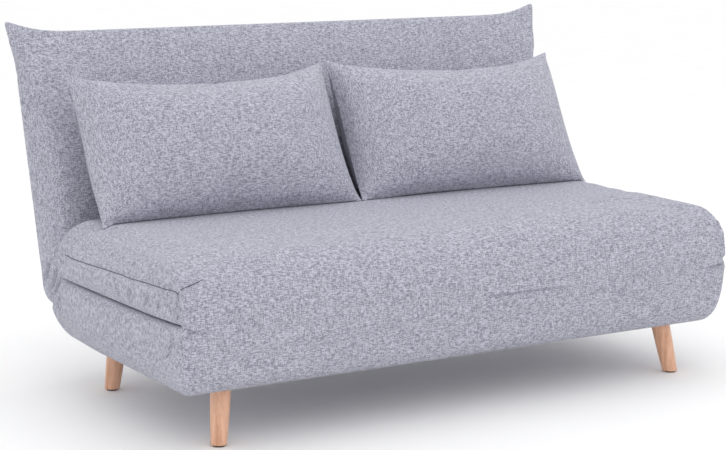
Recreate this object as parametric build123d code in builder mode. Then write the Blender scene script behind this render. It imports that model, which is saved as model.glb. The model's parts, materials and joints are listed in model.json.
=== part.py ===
from build123d import *
from math import atan2, cos, degrees, hypot, radians, sin
import os

os.makedirs("parts", exist_ok=True)

# A sofa bed of three folding sections in millimetres: a lower pad on wooden legs, a seat pad that
# flips forward over the front fold, and a wedge backrest that reclines behind, with two loose pillows.
# u runs rearward from the front fold line, v upward from the fold level between the two pads.

# Pads
seat_width = 1480.0
pad_length = 663.0
pad_thickness = 138.0
fold_height = 278.0
cover_thickness = 2.5
cover_clearance = 0.5
pad_end_round = 36.0
crease_round = 12.0

# Shape of the seat pad, seen from the side
seat_overhang = 5.0
seat_front_round = 95.0
seat_front_drop = 12.0
seat_rear_round = 90.0
seat_rear_drop = 8.0
seat_rear_belly = 48.0
seat_rear_foot = 30.0

# Shape of the lower pad, seen from the side
base_front_lean = 14.0
base_front_foot = 32.0
base_front_round = 46.0
base_rear_round = 18.0
base_rear_edge = 8.0
base_rear_clearance = 0.5

# Backrest wedge: s runs up its front face from the hinge line, t runs rearward through it
back_length = 600.0
back_lean = 18.0
back_thickness = 165.0
back_top_thickness = 22.0
back_top_front = 4.0
back_edge_thickness = 8.0
back_width_bottom = 1420.0
back_width_top = 1512.0
back_side_bulge = 40.0
back_side_bulge_share = 0.4
back_foot_round = 32.0
back_head_round = 15.0
back_crown = 22.0
back_crown_start_share = 0.27
back_crown_peak_share = 0.65
back_crown_end_share = 0.9
back_crown_near_end = 14.0
ear_radius = 7.0
ear_length = 44.0
ear_taper = 3.0
ear_rise = 40.0
ear_inset = 18.0

# Gusset that closes the wedge between the lower pad and the backrest
gusset_end_inset = 10.0
gusset_clearance = 0.4
gusset_inner_radius = 26.0
gusset_crease_radius = 108.0
gusset_crease_angle = 46.0
gusset_bulge = 10.0

# Pillows
pillow_width = 690.0
pillow_height = 375.0
pillow_thickness = 230.0
pillow_tilt = 27.0
pillow_gap = 15.0
pillow_rear_inset = 142.0
pillow_seat_clearance = 2.5
pillow_edge_depth = 165.0
pillow_draw_in = 16.0

# Wooden legs
leg_foot_end_inset = 110.0
leg_top_end_inset = 130.0
front_foot_u = 58.0
front_leg_top_u = 84.0
rear_leg_inset = 45.0
leg_foot_radius = 17.5
leg_top_radius = 22.5
leg_swell = 1.5
glide_radius = 13.0
glide_thickness = 4.0
leg_plate_size = 48.0
leg_plate_thickness = 3.5
stud_radius = 4.0
stud_in_leg = 60.0
stud_in_rail = 16.0
stud_clearance = 0.15
screw_radius = 2.0
screw_head_radius = 4.0
screw_head_thickness = 2.0
screw_length = 9.0
screw_spacing = 36.0

# Steel frames
base_rail = 30.0
base_rail_end_inset = 135.0
base_rail_front_u = 56.0
base_rail_rear_inset = 23.0
base_cross_front_u = 78.0
base_cross_rear_inset = 53.0
seat_rail = 25.0
seat_rail_level = 64.5
seat_rail_front_u = 60.0
seat_rail_rear_inset = 53.0
seat_cross_front_u = 152.5
back_rail_width = 30.0
back_rail_depth = 20.0
back_rail_front_t = 22.0
back_rail_start = 60.0
back_rail_top_inset = 150.0
back_cross_low = 140.0
tube_wall = 1.5

# Slats of the lower pad, webbing of the seat and the backrest
slat_count = 10
slat_width = 60.0
slat_thickness = 10.0
holder_wall = 3.0
holder_floor = 2.0
holder_length = 34.0
holder_clearance = 0.3
webbing_thickness = 3.0
webbing_width = 60.0
seat_webbing_count = 9
back_webbing_count = 4

# Hinges
hinge_plate = 4.0
hinge_side_gap = 0.5
flip_boss_radius = 8.0
flip_pin_radius = 4.0
recline_boss_radius = 13.0
recline_pin_radius = 6.0
recline_elbow_inset = 31.0
recline_elbow_drop = 45.0
recline_foot_inset = 41.0
recline_tail_length = 47.0
recline_bolt_margin = 2.0
recline_bolt_spacing = 22.0
running_clearance = 0.06
pin_head_thickness = 4.0
pin_head_extra = 3.0
notch_clearance = 5.0
bolt_radius = 4.0
bolt_clearance = 0.1
bolt_head_radius = 7.0
bolt_head_thickness = 5.0
bolt_length = 14.0

# Support legs that fold out of the seat's free end
support_end_inset = 310.0
support_level = 100.0
support_rod_radius = 10.0
support_washer = 3.0
support_bracket_width = 30.0
support_bracket_thickness = 4.0
support_bracket_margin = 12.0
support_pin_radius = 4.0
support_end_margin = 12.0
support_foot_radius = 12.0
support_foot_length = 22.0
support_foot_base = 4.0
floor_clearance = 0.5

# Rear leg that hangs behind the backrest
hanger_end_inset = 182.0
hanger_top_inset = 145.0
hanger_t = 75.0
hanger_thickness = 4.0
hanger_width = 22.0
arm_radius = 10.0
arm_gap = 2.0
arm_top_margin = 12.0
arm_bar_rise = 40.0
arm_foot_radius = 12.0
arm_foot_length = 22.0
arm_foot_base = 4.0

# Pockets in the foam
pocket_clearance = 1.0
slot_clearance = 3.0

# Worked out from the sizes above
lean = radians(back_lean)
seat_half = seat_width / 2
seat_length = pad_length + seat_overhang
gusset_width = back_width_bottom - 2 * gusset_end_inset
leg_foot_x = seat_half - leg_foot_end_inset
leg_top_x = seat_half - leg_top_end_inset
rear_leg_u = pad_length - rear_leg_inset
base_rail_x = seat_half - base_rail_end_inset
base_rail_rear_u = pad_length - base_rail_rear_inset
base_cross_rear_u = pad_length - base_cross_rear_inset
seat_rail_rear_u = seat_length - seat_rail_rear_inset
back_rail_end = back_length - back_rail_top_inset
support_x = seat_half - support_end_inset
hanger_x = seat_half - hanger_end_inset
hanger_s = back_length - hanger_top_inset
up_back = (0.0, sin(lean), cos(lean))
hanger_reach = pad_length + hanger_s * sin(lean) + hanger_t * cos(lean)
overall_rear_u = hanger_reach + max(arm_radius, arm_foot_radius)
front_y = (flip_boss_radius - overall_rear_u) / 2
hinge_y = front_y + pad_length
foam_skin = cover_thickness + cover_clearance
base_bottom = fold_height - pad_thickness
rail_bottom_v = cover_thickness + leg_plate_thickness - pad_thickness
base_rail_v = rail_bottom_v + base_rail / 2
base_rail_top_v = rail_bottom_v + base_rail
hinge_plate_x = base_rail_x + base_rail / 2
moving_plate_x = hinge_plate_x + hinge_plate + hinge_side_gap
moving_rail_x = moving_plate_x + hinge_plate
back_frame = Plane(origin=(0, hinge_y, fold_height), x_dir=(1, 0, 0), z_dir=up_back)
sides = (("left", -1), ("right", 1))
screw_steps = (-screw_spacing / 2, screw_spacing / 2)


def y_of(u):
    return front_y + u


def z_of(v):
    return fold_height + v


def at(u, v):
    """A point of the side view, in the sketch axes of a plane across X."""
    return (y_of(u), z_of(v))


def on_back(x, t, s):
    """A place in the backrest, turned with it."""
    return back_frame.location * Location((x, t, s))


def side_plane(x):
    """The plane across X in which the base and the seat are seen from the side."""
    return Plane.YZ.offset(x)


def back_side_plane(x):
    """The plane across X whose sketch axes are the backrest's s and t."""
    return Plane(origin=(x, hinge_y, fold_height), x_dir=up_back, z_dir=(-1, 0, 0))


def end_stations(half_width, radius):
    """X stations that round the pad's ends, each with the inset of its section."""
    turns = [radians(angle) for angle in (80, 60, 30, 0)]
    right = [(half_width - radius * (1 - sin(a)), radius * (1 - cos(a))) for a in turns]
    left = [(-x, inset) for x, inset in right]
    return left + right[::-1]


def quarter(start, end, corner):
    """A quarter of an ellipse from start to end, bulging toward the corner, as one arc."""
    share = 1 - cos(radians(45))
    mid = tuple(c + share * ((a - c) + (b - c)) for a, b, c in zip(start, end, corner))
    ThreePointArc(start, mid, end)


def seat_sections(skin):
    """Side outlines of the seat pad, each inset from the cover's outside by the skin."""
    sections = []
    for x, tuck in end_stations(seat_half - skin, pad_end_round):
        inset = skin + tuck
        front = inset
        rear = seat_length - inset
        top = pad_thickness - inset
        fold_rear = at(front + crease_round, inset)
        fold_top = at(front, inset + crease_round)
        crown_front = at(front + seat_front_round, top - seat_front_drop)
        crown_mid = at((front + rear) / 2, top)
        crown_rear = at(rear - seat_rear_round, top - seat_rear_drop)
        belly = at(rear, inset + seat_rear_belly)
        foot = at(rear - seat_rear_foot, inset)
        with BuildSketch(side_plane(x)) as section:
            with BuildLine():
                quarter(fold_rear, fold_top, at(front, inset))
                TangentArc(fold_top, crown_front, tangent=(0, 1))
                ThreePointArc(crown_front, crown_mid, crown_rear)
                quarter(crown_rear, belly, at(rear, top - seat_rear_drop))
                quarter(belly, foot, at(rear, inset))
                Line(foot, fold_rear)
            make_face()
        sections.append(section.sketch)
    return sections


def base_sections(skin):
    """Side outlines of the lower pad, each inset from the cover's outside by the skin."""
    sections = []
    for x, tuck in end_stations(seat_half - skin, pad_end_round):
        inset = skin + tuck
        front = inset
        rear = pad_length - base_rear_clearance - inset
        bottom = inset - pad_thickness
        fold_rear = at(front + crease_round, -inset)
        fold_low = at(front, -inset - crease_round)
        shin = at(front + base_front_lean, bottom + base_front_foot)
        toe = at(front + base_front_round, bottom)
        heel = at(rear - base_rear_round, bottom)
        heel_top = at(rear, bottom + base_rear_round)
        edge_low = at(rear, -inset - base_rear_edge)
        edge_top = at(rear - base_rear_edge, -inset)
        with BuildSketch(side_plane(x)) as section:
            with BuildLine():
                quarter(fold_rear, fold_low, at(front, -inset))
                TangentArc(fold_low, shin, tangent=(0, -1))
                quarter(shin, toe, at(front + base_front_lean, bottom))
                Line(toe, heel)
                quarter(heel, heel_top, at(rear, bottom))
                Line(heel_top, edge_low)
                quarter(edge_low, edge_top, at(rear, -inset))
                Line(edge_top, fold_rear)
            make_face()
        sections.append(section.sketch)
    return sections


def back_half_width(s):
    return (back_width_bottom + (back_width_top - back_width_bottom) * s / back_length) / 2


def back_rear(s):
    """Depth of the backrest's rear face at a height along it."""
    low = back_foot_round
    high = back_length - back_head_round
    return back_thickness + (back_top_thickness - back_thickness) * (s - low) / (high - low)


def back_sections(skin):
    """Outlines across the backrest from the hinge end to the top edge, inset by the skin."""
    head = back_length - back_head_round
    edge_front = (back_top_front + back_top_thickness - back_edge_thickness) / 2
    edge_rear = back_rear(back_length) - edge_front - back_edge_thickness
    stations = [
        (skin, back_foot_round * 0.4, back_foot_round * 0.7, back_foot_round * 0.5, 0.0),
        (back_foot_round * 0.4, back_foot_round * 0.1, back_foot_round * 0.2, back_foot_round * 0.1, 0.0),
        (back_foot_round, 0.0, 0.0, 0.0, 0.0),
        (back_length * back_crown_start_share, 0.0, 0.0, 0.0, 0.0),
        (back_length * back_crown_peak_share, 0.0, 0.0, 0.0, back_crown),
        (back_length * back_crown_end_share, 0.0, 0.0, 0.0, back_crown_near_end),
        (head, back_top_front, 0.0, 0.0, back_top_front),
        (back_length - skin, edge_front, edge_rear, back_edge_thickness, 0.0),
    ]
    sections = []
    for s, front_round, rear_round, side_round, crown in stations:
        front = front_round + skin
        rear = back_rear(s) - rear_round - skin
        half = back_half_width(s) - side_round - skin
        bulge = min(back_side_bulge, back_side_bulge_share * (rear - front))
        middle = (front + rear) / 2
        with BuildSketch(Plane(on_back(0, 0, s))) as section:
            with BuildLine():
                if crown > 0:
                    ThreePointArc((bulge - half, front), (0, front - crown), (half - bulge, front))
                else:
                    Line((bulge - half, front), (half - bulge, front))
                ThreePointArc((half - bulge, front), (half, middle), (half - bulge, rear))
                Line((half - bulge, rear), (bulge - half, rear))
                ThreePointArc((bulge - half, rear), (-half, middle), (bulge - half, front))
            make_face()
        sections.append(section.sketch)
    return sections


def pillow_plane(side):
    """The pillow's own plane: its seam lies in it and its front faces the sitter."""
    tilt = radians(pillow_tilt)
    x = side * (pillow_gap + pillow_width) / 2
    low = fold_height + pad_thickness + pillow_seat_clearance
    seam = y_of(pad_length - pillow_rear_inset)
    centre = (x, seam + pillow_height / 2 * sin(tilt), low + pillow_height / 2 * cos(tilt))
    return Plane(origin=centre, x_dir=(1, 0, 0), z_dir=(0, -cos(tilt), sin(tilt)))


def pillow_sections(side, skin):
    """Outlines from the pillow's back to its front: pointed at the seam, smaller toward the crowns."""
    sections = []
    for angle in (-80, -50, -22, 0, 22, 50, 80):
        turn = radians(angle)
        tuck = pillow_edge_depth * (1 - cos(turn)) + 2 * skin
        half_width = pillow_width / 2 - tuck
        half_height = pillow_height / 2 - tuck
        draw = pillow_draw_in * cos(turn)
        plane = pillow_plane(side).offset((pillow_thickness / 2 - skin) * sin(turn))
        corners = [(-half_width, -half_height), (half_width, -half_height),
                   (half_width, half_height), (-half_width, half_height)]
        middles = [(0, draw - half_height), (half_width - draw, 0),
                   (0, half_height - draw), (draw - half_width, 0)]
        with BuildSketch(plane) as section:
            with BuildLine():
                for i in range(4):
                    ThreePointArc(corners[i], middles[i], corners[(i + 1) % 4])
            make_face()
        sections.append(section.sketch)
    return sections


def box_tube(place, size, along):
    """A steel box tube centred on a place, open at both ends of the axis along."""
    bore = [length if axis == along else length - 2 * tube_wall for axis, length in zip("xyz", size)]
    with Locations(place):
        Box(*size)
        Box(*bore, mode=Mode.SUBTRACT)


def block(low, high, mode=Mode.ADD):
    """A box between two corners given in X, u and v."""
    place = (low[0] + high[0]) / 2, y_of((low[1] + high[1]) / 2), z_of((low[2] + high[2]) / 2)
    with Locations(place):
        Box(abs(high[0] - low[0]), high[1] - low[1], high[2] - low[2], mode=mode)


def back_block(low, high, mode=Mode.ADD):
    """A box between two corners given in the backrest's X, t and s."""
    with Locations(on_back(*[(a + b) / 2 for a, b in zip(low, high)])):
        Box(abs(high[0] - low[0]), high[1] - low[1], high[2] - low[2], mode=mode)


def rod(start, end, radius, mode=Mode.ADD):
    """A round bar between two points."""
    axis = Vector(*end) - Vector(*start)
    with Locations(Plane(origin=start, z_dir=axis).location):
        Cylinder(radius, axis.length, align=(Align.CENTER, Align.CENTER, Align.MIN), mode=mode)


def strap(start, end, width):
    """A flat bar with round ends between two points of a sketch."""
    run = end[0] - start[0]
    rise = end[1] - start[1]
    with Locations(((start[0] + end[0]) / 2, (start[1] + end[1]) / 2)):
        SlotCenterToCenter(hypot(run, rise), width, rotation=degrees(atan2(rise, run)))


def boss(point, radius):
    """A round boss in a sketch."""
    with Locations(point):
        Circle(radius)


def holes(points, radius):
    """Round holes through a sketch."""
    with Locations(*points):
        Circle(radius, mode=Mode.SUBTRACT)


def hinge_bolt(head, direction):
    """A bolt along X whose head's seat is at a point and whose shank runs in the direction."""
    tip = (head[0] + direction * bolt_length, head[1], head[2])
    top = (head[0] - direction * bolt_head_thickness, head[1], head[2])
    rod(head, tip, bolt_radius)
    with BuildSketch(Plane(origin=head, z_dir=Vector(*top) - Vector(*head))) as hexagon:
        RegularPolygon(bolt_head_radius, 6)
    extrude(hexagon.sketch, amount=bolt_head_thickness)


def save(piece, name):
    """Label a finished piece and write it to its own file."""
    piece.part.label = name
    export_step(piece.part, f"parts/{name}.step")


# Points of the hinge hardware, in the side view
flip_bracket_path = ((0, 0), (44, -44), (66, base_rail_v), (106, base_rail_v))
flip_bracket_bolts = ((68, base_rail_v), (104, base_rail_v))
flip_plate_path = ((0, 0), (40, 40), (72, seat_rail_level), (110, seat_rail_level))
flip_plate_bolts = ((78, seat_rail_level), (106, seat_rail_level))
recline_elbow_u = pad_length - recline_elbow_inset
recline_foot_u = pad_length - recline_foot_inset
recline_tail_u = recline_foot_u - recline_tail_length
recline_bracket_path = ((pad_length, 0), (recline_elbow_u, -recline_elbow_drop),
                        (recline_foot_u, base_rail_v), (recline_tail_u, base_rail_v))
recline_last_bolt_u = recline_tail_u + recline_bolt_margin
recline_bracket_bolts = ((recline_last_bolt_u + recline_bolt_spacing, base_rail_v),
                         (recline_last_bolt_u, base_rail_v))
back_rail_t = back_rail_front_t + back_rail_depth / 2
recline_plate_path = ((0, 0), (32, back_rail_t), (108, back_rail_t))
recline_plate_bolts = ((74, back_rail_t), (104, back_rail_t))
bracket_widths = (10, 18, 22)
recline_widths = (14, 22, 22)
plate_widths = (10, 18, 20)
recline_plate_widths = (14, 18)
flip_notch = flip_boss_radius + notch_clearance
recline_notch = recline_boss_radius + notch_clearance
slot_in = hinge_plate_x - slot_clearance - bolt_head_thickness
slot_out = moving_rail_x + slot_clearance


def hinge_notches(half_side, mode=Mode.SUBTRACT):
    """Round reliefs along both fold lines, where the hinge bosses turn."""
    for u, radius in ((0, flip_notch), (pad_length, recline_notch)):
        rod((half_side * slot_in, y_of(u), fold_height), (half_side * slot_out, y_of(u), fold_height),
            radius, mode)


def straps(path, widths):
    """A bent flat bar along a path, one width for each stretch."""
    for start, end, width in zip(path, path[1:], widths):
        strap(start, end, width)


# Frame of the lower pad
for side, sign in sides:
    with BuildPart() as base_side_rail:
        rail_middle_u = (base_rail_front_u + base_rail_rear_u) / 2
        box_tube((sign * base_rail_x, y_of(rail_middle_u), z_of(base_rail_v)),
                 (base_rail, base_rail_rear_u - base_rail_front_u, base_rail), "y")
        for u, v in flip_bracket_bolts + recline_bracket_bolts:
            outer = sign * hinge_plate_x
            rod((outer, y_of(u), z_of(v)), (outer - sign * bolt_length, y_of(u), z_of(v)),
                bolt_radius + bolt_clearance, Mode.SUBTRACT)
        for u in (front_leg_top_u, rear_leg_u):
            with Locations((sign * leg_top_x, y_of(u), z_of(rail_bottom_v))):
                Cylinder(2 * stud_radius, 3 * tube_wall, mode=Mode.SUBTRACT)
            for step in screw_steps:
                with Locations((sign * base_rail_x, y_of(u + step), z_of(rail_bottom_v))):
                    Cylinder(screw_radius + bolt_clearance, 3 * tube_wall, mode=Mode.SUBTRACT)
    save(base_side_rail, f"base_side_rail_{side}")

cross_length = 2 * base_rail_x - base_rail
for place, u in (("front", base_cross_front_u), ("rear", base_cross_rear_u)):
    with BuildPart() as base_cross_rail:
        box_tube((0, y_of(u), z_of(base_rail_v)), (cross_length, base_rail, base_rail), "x")
    save(base_cross_rail, f"base_{place}_rail")

slat_bottom_v = base_rail_top_v + holder_floor
slat_front_u = base_cross_front_u - holder_length / 2 + holder_wall
slat_rear_u = base_cross_rear_u + holder_length / 2 - holder_wall
slat_pitch = cross_length / slat_count
slat_xs = [(i - (slat_count - 1) / 2) * slat_pitch for i in range(slat_count)]
holder_top_v = slat_bottom_v + slat_thickness + holder_clearance + holder_wall
with BuildPart() as base_slats:
    for x in slat_xs:
        block((x - slat_width / 2, slat_front_u + holder_clearance, slat_bottom_v),
              (x + slat_width / 2, slat_rear_u - holder_clearance, slat_bottom_v + slat_thickness))
save(base_slats, "base_slats")

with BuildPart() as slat_holders:
    slot_half = slat_width / 2 + holder_clearance
    for x in slat_xs:
        for u in (base_cross_front_u, base_cross_rear_u):
            block((x - slot_half - holder_wall, u - holder_length / 2, base_rail_top_v),
                  (x + slot_half + holder_wall, u + holder_length / 2, holder_top_v))
        block((x - slot_half, slat_front_u, slat_bottom_v),
              (x + slot_half, slat_rear_u, slat_bottom_v + slat_thickness + holder_clearance), Mode.SUBTRACT)
save(slat_holders, "slat_holders")

# Foam and cover of the lower pad
pocket_top_v = holder_top_v + pocket_clearance
pocket_x = hinge_plate_x + hinge_plate + bolt_head_thickness + slot_clearance
with BuildPart() as base_foam:
    loft(base_sections(foam_skin), ruled=True)
    pocket_front_u = min(base_rail_front_u, front_leg_top_u - leg_plate_size / 2,
                         flip_bracket_path[2][0] - bracket_widths[2] / 2) - pocket_clearance
    pocket_rear_u = max(base_rail_rear_u, rear_leg_u + leg_plate_size / 2) + pocket_clearance
    block((-pocket_x, pocket_front_u, -2 * pad_thickness),
          (pocket_x, pocket_rear_u, pocket_top_v), Mode.SUBTRACT)
    for side, sign in sides:
        hinge_notches(sign)
        front_end = flip_bracket_path[2][0] + bracket_widths[2]
        rear_start = recline_bracket_path[2][0] - recline_widths[2]
        for low, high in ((-pad_length, front_end), (rear_start, 2 * pad_length)):
            block((sign * slot_in, low, base_rail_v), (sign * slot_out, high, pad_thickness), Mode.SUBTRACT)
save(base_foam, "base_foam")

with BuildPart() as base_cover:
    loft(base_sections(0), ruled=True)
    loft(base_sections(cover_thickness), ruled=True, mode=Mode.SUBTRACT)
    for side, sign in sides:
        hinge_notches(sign)
        for u in (front_leg_top_u, rear_leg_u):
            with Locations((sign * leg_top_x, y_of(u), base_bottom)):
                Cylinder(2 * stud_radius, 3 * cover_thickness, mode=Mode.SUBTRACT)
save(base_cover, "base_cover")

# Wooden legs with their plates, studs, screws and glides
leg_spots = [(f"{place}_{side}", sign, foot_u, top_u) for side, sign in sides
             for place, foot_u, top_u in (("front", front_foot_u, front_leg_top_u),
                                          ("rear", rear_leg_u, rear_leg_u))]


def leg_axis(sign, foot_u, top_u):
    """The leg's foot and top, and the unit vector up its axis."""
    foot = Vector(sign * leg_foot_x, y_of(foot_u), 0)
    top = Vector(sign * leg_top_x, y_of(top_u), base_bottom)
    return foot, top, (top - foot).normalized()


for name, sign, foot_u, top_u in leg_spots:
    foot, top, up = leg_axis(sign, foot_u, top_u)
    length = (top - foot).length
    turning = Plane(origin=foot, x_dir=up, z_dir=up.cross(Vector(1, 0, 0)))
    with BuildPart() as wooden_leg:
        with BuildSketch(turning):
            with BuildLine():
                Line((-length, 0), (-length, leg_foot_radius))
                Line((-length, leg_foot_radius), (0, leg_foot_radius))
                ThreePointArc((0, leg_foot_radius),
                              (length / 2, (leg_foot_radius + leg_top_radius) / 2 + leg_swell),
                              (length, leg_top_radius))
                Line((length, leg_top_radius), (2 * length, leg_top_radius))
                Line((2 * length, leg_top_radius), (2 * length, 0))
                Line((2 * length, 0), (-length, 0))
            make_face()
        revolve(axis=Axis(foot, up))
        with BuildSketch(Plane.XY.offset(glide_thickness)):
            with Locations(((foot.X + top.X) / 2, (foot.Y + top.Y) / 2)):
                Rectangle(4 * leg_top_radius + abs(top.X - foot.X), 4 * leg_top_radius + abs(top.Y - foot.Y))
        extrude(amount=base_bottom - glide_thickness, mode=Mode.INTERSECT)
        rod(top - up * stud_in_leg, top + up * stud_in_leg, stud_radius + stud_clearance, Mode.SUBTRACT)
    save(wooden_leg, f"leg_{name}")

with BuildPart() as leg_glides:
    for name, sign, foot_u, top_u in leg_spots:
        with BuildSketch(Plane.XY):
            with Locations((sign * leg_foot_x, y_of(foot_u))):
                Circle(glide_radius)
        extrude(amount=glide_thickness)
save(leg_glides, "leg_glides")

with BuildPart() as leg_studs:
    for name, sign, foot_u, top_u in leg_spots:
        foot, top, up = leg_axis(sign, foot_u, top_u)
        rod(top - up * stud_in_leg, top + up * stud_in_rail, stud_radius)
save(leg_studs, "leg_studs")

plate_bottom = base_bottom + cover_thickness
with BuildPart() as leg_plates:
    for name, sign, foot_u, top_u in leg_spots:
        with BuildSketch(Plane.XY.offset(plate_bottom)):
            with Locations((sign * leg_top_x, y_of(top_u))):
                Rectangle(base_rail, leg_plate_size)
            holes([(sign * base_rail_x, y_of(top_u + step)) for step in screw_steps],
                  screw_radius + bolt_clearance)
        extrude(amount=leg_plate_thickness)
        for step in screw_steps:
            spot = (sign * base_rail_x, y_of(top_u + step))
            rod((*spot, plate_bottom), (*spot, plate_bottom + screw_head_thickness),
                screw_head_radius + bolt_clearance, Mode.SUBTRACT)
        foot, top, up = leg_axis(sign, foot_u, top_u)
        rod(top - up * stud_in_leg, top + up * stud_in_leg, stud_radius + stud_clearance, Mode.SUBTRACT)
save(leg_plates, "leg_plates")

with BuildPart() as leg_plate_screws:
    for name, sign, foot_u, top_u in leg_spots:
        for step in screw_steps:
            spot = (sign * base_rail_x, y_of(top_u + step))
            seat_level = plate_bottom + screw_head_thickness
            rod((*spot, plate_bottom), (*spot, seat_level), screw_head_radius)
            rod((*spot, plate_bottom), (*spot, plate_bottom + screw_length), screw_radius)
save(leg_plate_screws, "leg_plate_screws")

# Hinge brackets of the lower pad, with their pins and bolts
for side, sign in sides:
    start_x = min(sign * hinge_plate_x, sign * (hinge_plate_x + hinge_plate))
    with BuildPart() as flip_bracket:
        with BuildSketch(side_plane(start_x)):
            straps([at(*p) for p in flip_bracket_path], bracket_widths)
            boss(at(0, 0), flip_boss_radius)
            holes([at(0, 0)], flip_pin_radius)
            holes([at(*p) for p in flip_bracket_bolts], bolt_radius + bolt_clearance)
        extrude(amount=hinge_plate)
    save(flip_bracket, f"flip_bracket_{side}")

    with BuildPart() as recline_bracket:
        with BuildSketch(side_plane(start_x)):
            straps([at(*p) for p in recline_bracket_path], recline_widths)
            boss(at(pad_length, 0), recline_boss_radius)
            holes([at(pad_length, 0)], recline_pin_radius)
            holes([at(*p) for p in recline_bracket_bolts], bolt_radius + bolt_clearance)
        extrude(amount=hinge_plate)
    save(recline_bracket, f"recline_bracket_{side}")

pin_end_x = moving_rail_x + hinge_side_gap
with BuildPart() as hinge_pins:
    for side, sign in sides:
        inner = sign * hinge_plate_x
        for u, radius in ((0, flip_pin_radius), (pad_length, recline_pin_radius)):
            rod((inner, y_of(u), fold_height), (sign * pin_end_x, y_of(u), fold_height), radius)
            rod((inner - sign * pin_head_thickness, y_of(u), fold_height), (inner, y_of(u), fold_height),
                radius + pin_head_extra)
save(hinge_pins, "hinge_pins")

with BuildPart() as base_hinge_bolts:
    for side, sign in sides:
        for u, v in flip_bracket_bolts + recline_bracket_bolts:
            hinge_bolt((sign * (hinge_plate_x + hinge_plate), y_of(u), z_of(v)), -sign)
save(base_hinge_bolts, "base_hinge_bolts")

# Gusset behind the lower pad: two soft lobes with a crease between them
crease_turn = radians(gusset_crease_angle)
lower_v = base_rear_round - pad_thickness
upper_run = back_thickness - back_foot_round
with BuildPart() as rear_gusset:
    with BuildSketch(side_plane(-gusset_width / 2)):
        clear = gusset_clearance
        upper_in = at(pad_length + gusset_inner_radius * cos(lean) - clear * sin(lean),
                      -gusset_inner_radius * sin(lean) - clear * cos(lean))
        upper_out = at(pad_length + upper_run * cos(lean) - clear * sin(lean),
                       -upper_run * sin(lean) - clear * cos(lean))
        crease = at(pad_length + gusset_crease_radius * cos(crease_turn),
                    -gusset_crease_radius * sin(crease_turn))
        lower_out = at(pad_length + clear, lower_v)
        lower_in = at(pad_length + clear, -gusset_inner_radius)
        inner_turn = radians((90 + back_lean) / 2)
        inner_mid = at(pad_length + gusset_inner_radius * cos(inner_turn),
                       -gusset_inner_radius * sin(inner_turn))
        with BuildLine():
            Line(upper_in, upper_out)
            SagittaArc(upper_out, crease, gusset_bulge)
            SagittaArc(crease, lower_out, gusset_bulge)
            Line(lower_out, lower_in)
            ThreePointArc(lower_in, inner_mid, upper_in)
        make_face()
    extrude(amount=gusset_width)
save(rear_gusset, "rear_gusset")

# Frame of the seat pad
seat_rail_x = moving_rail_x + seat_rail / 2
for side, sign in sides:
    with BuildPart() as seat_side_rail:
        rail_middle_u = (seat_rail_front_u + seat_rail_rear_u) / 2
        box_tube((sign * seat_rail_x, y_of(rail_middle_u), z_of(seat_rail_level)),
                 (seat_rail, seat_rail_rear_u - seat_rail_front_u, seat_rail), "y")
        for u, v in flip_plate_bolts:
            inner = sign * moving_rail_x
            rod((inner, y_of(u), z_of(v)), (inner + sign * bolt_length, y_of(u), z_of(v)),
                bolt_radius + bolt_clearance, Mode.SUBTRACT)
    save(seat_side_rail, f"seat_side_rail_{side}")

seat_cross_rear_u = seat_rail_rear_u - seat_rail / 2
for place, u in (("front", seat_cross_front_u), ("rear", seat_cross_rear_u)):
    with BuildPart() as seat_cross_rail:
        box_tube((0, y_of(u), z_of(seat_rail_level)), (2 * moving_rail_x, seat_rail, seat_rail), "x")
    save(seat_cross_rail, f"seat_{place}_rail")

seat_rail_top_v = seat_rail_level + seat_rail / 2
seat_webbing_pitch = 2 * moving_rail_x / seat_webbing_count
with BuildPart() as seat_webbing:
    for i in range(seat_webbing_count):
        x = (i - (seat_webbing_count - 1) / 2) * seat_webbing_pitch
        block((x - webbing_width / 2, seat_cross_front_u - seat_rail / 2, seat_rail_top_v),
              (x + webbing_width / 2, seat_rail_rear_u, seat_rail_top_v + webbing_thickness))
save(seat_webbing, "seat_webbing")

for side, sign in sides:
    start_x = min(sign * moving_plate_x, sign * moving_rail_x)
    with BuildPart() as flip_plate:
        with BuildSketch(side_plane(start_x)):
            straps([at(*p) for p in flip_plate_path], plate_widths)
            boss(at(0, 0), flip_boss_radius)
            holes([at(0, 0)], flip_pin_radius + running_clearance)
            holes([at(*p) for p in flip_plate_bolts], bolt_radius + bolt_clearance)
        extrude(amount=hinge_plate)
    save(flip_plate, f"flip_plate_{side}")

with BuildPart() as seat_hinge_bolts:
    for side, sign in sides:
        for u, v in flip_plate_bolts:
            hinge_bolt((sign * moving_plate_x, y_of(u), z_of(v)), sign)
save(seat_hinge_bolts, "seat_hinge_bolts")

# Foam and cover of the seat pad, with recesses for the support legs in its free end
bracket_rear_u = seat_rail_rear_u + support_bracket_thickness
rod_u = bracket_rear_u + support_washer + support_rod_radius
support_length = fold_height - support_level - floor_clearance
recess_half = support_foot_radius + slot_clearance
bracket_half = support_bracket_width / 2 + slot_clearance


def support_recess(sign):
    """Room for one folded support leg, its bracket and its swing up out of the pad."""
    block((sign * (support_x - support_length - slot_clearance), bracket_rear_u - pocket_clearance,
           support_level - recess_half),
          (sign * (support_x + support_end_margin + slot_clearance), 2 * seat_length, 2 * pad_thickness),
          Mode.SUBTRACT)
    block((sign * (support_x - bracket_half), seat_rail_rear_u - 2 * pin_head_thickness,
           seat_rail_level - seat_rail / 2 - pocket_clearance),
          (sign * (support_x + bracket_half), 2 * seat_length, 2 * pad_thickness), Mode.SUBTRACT)


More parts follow.
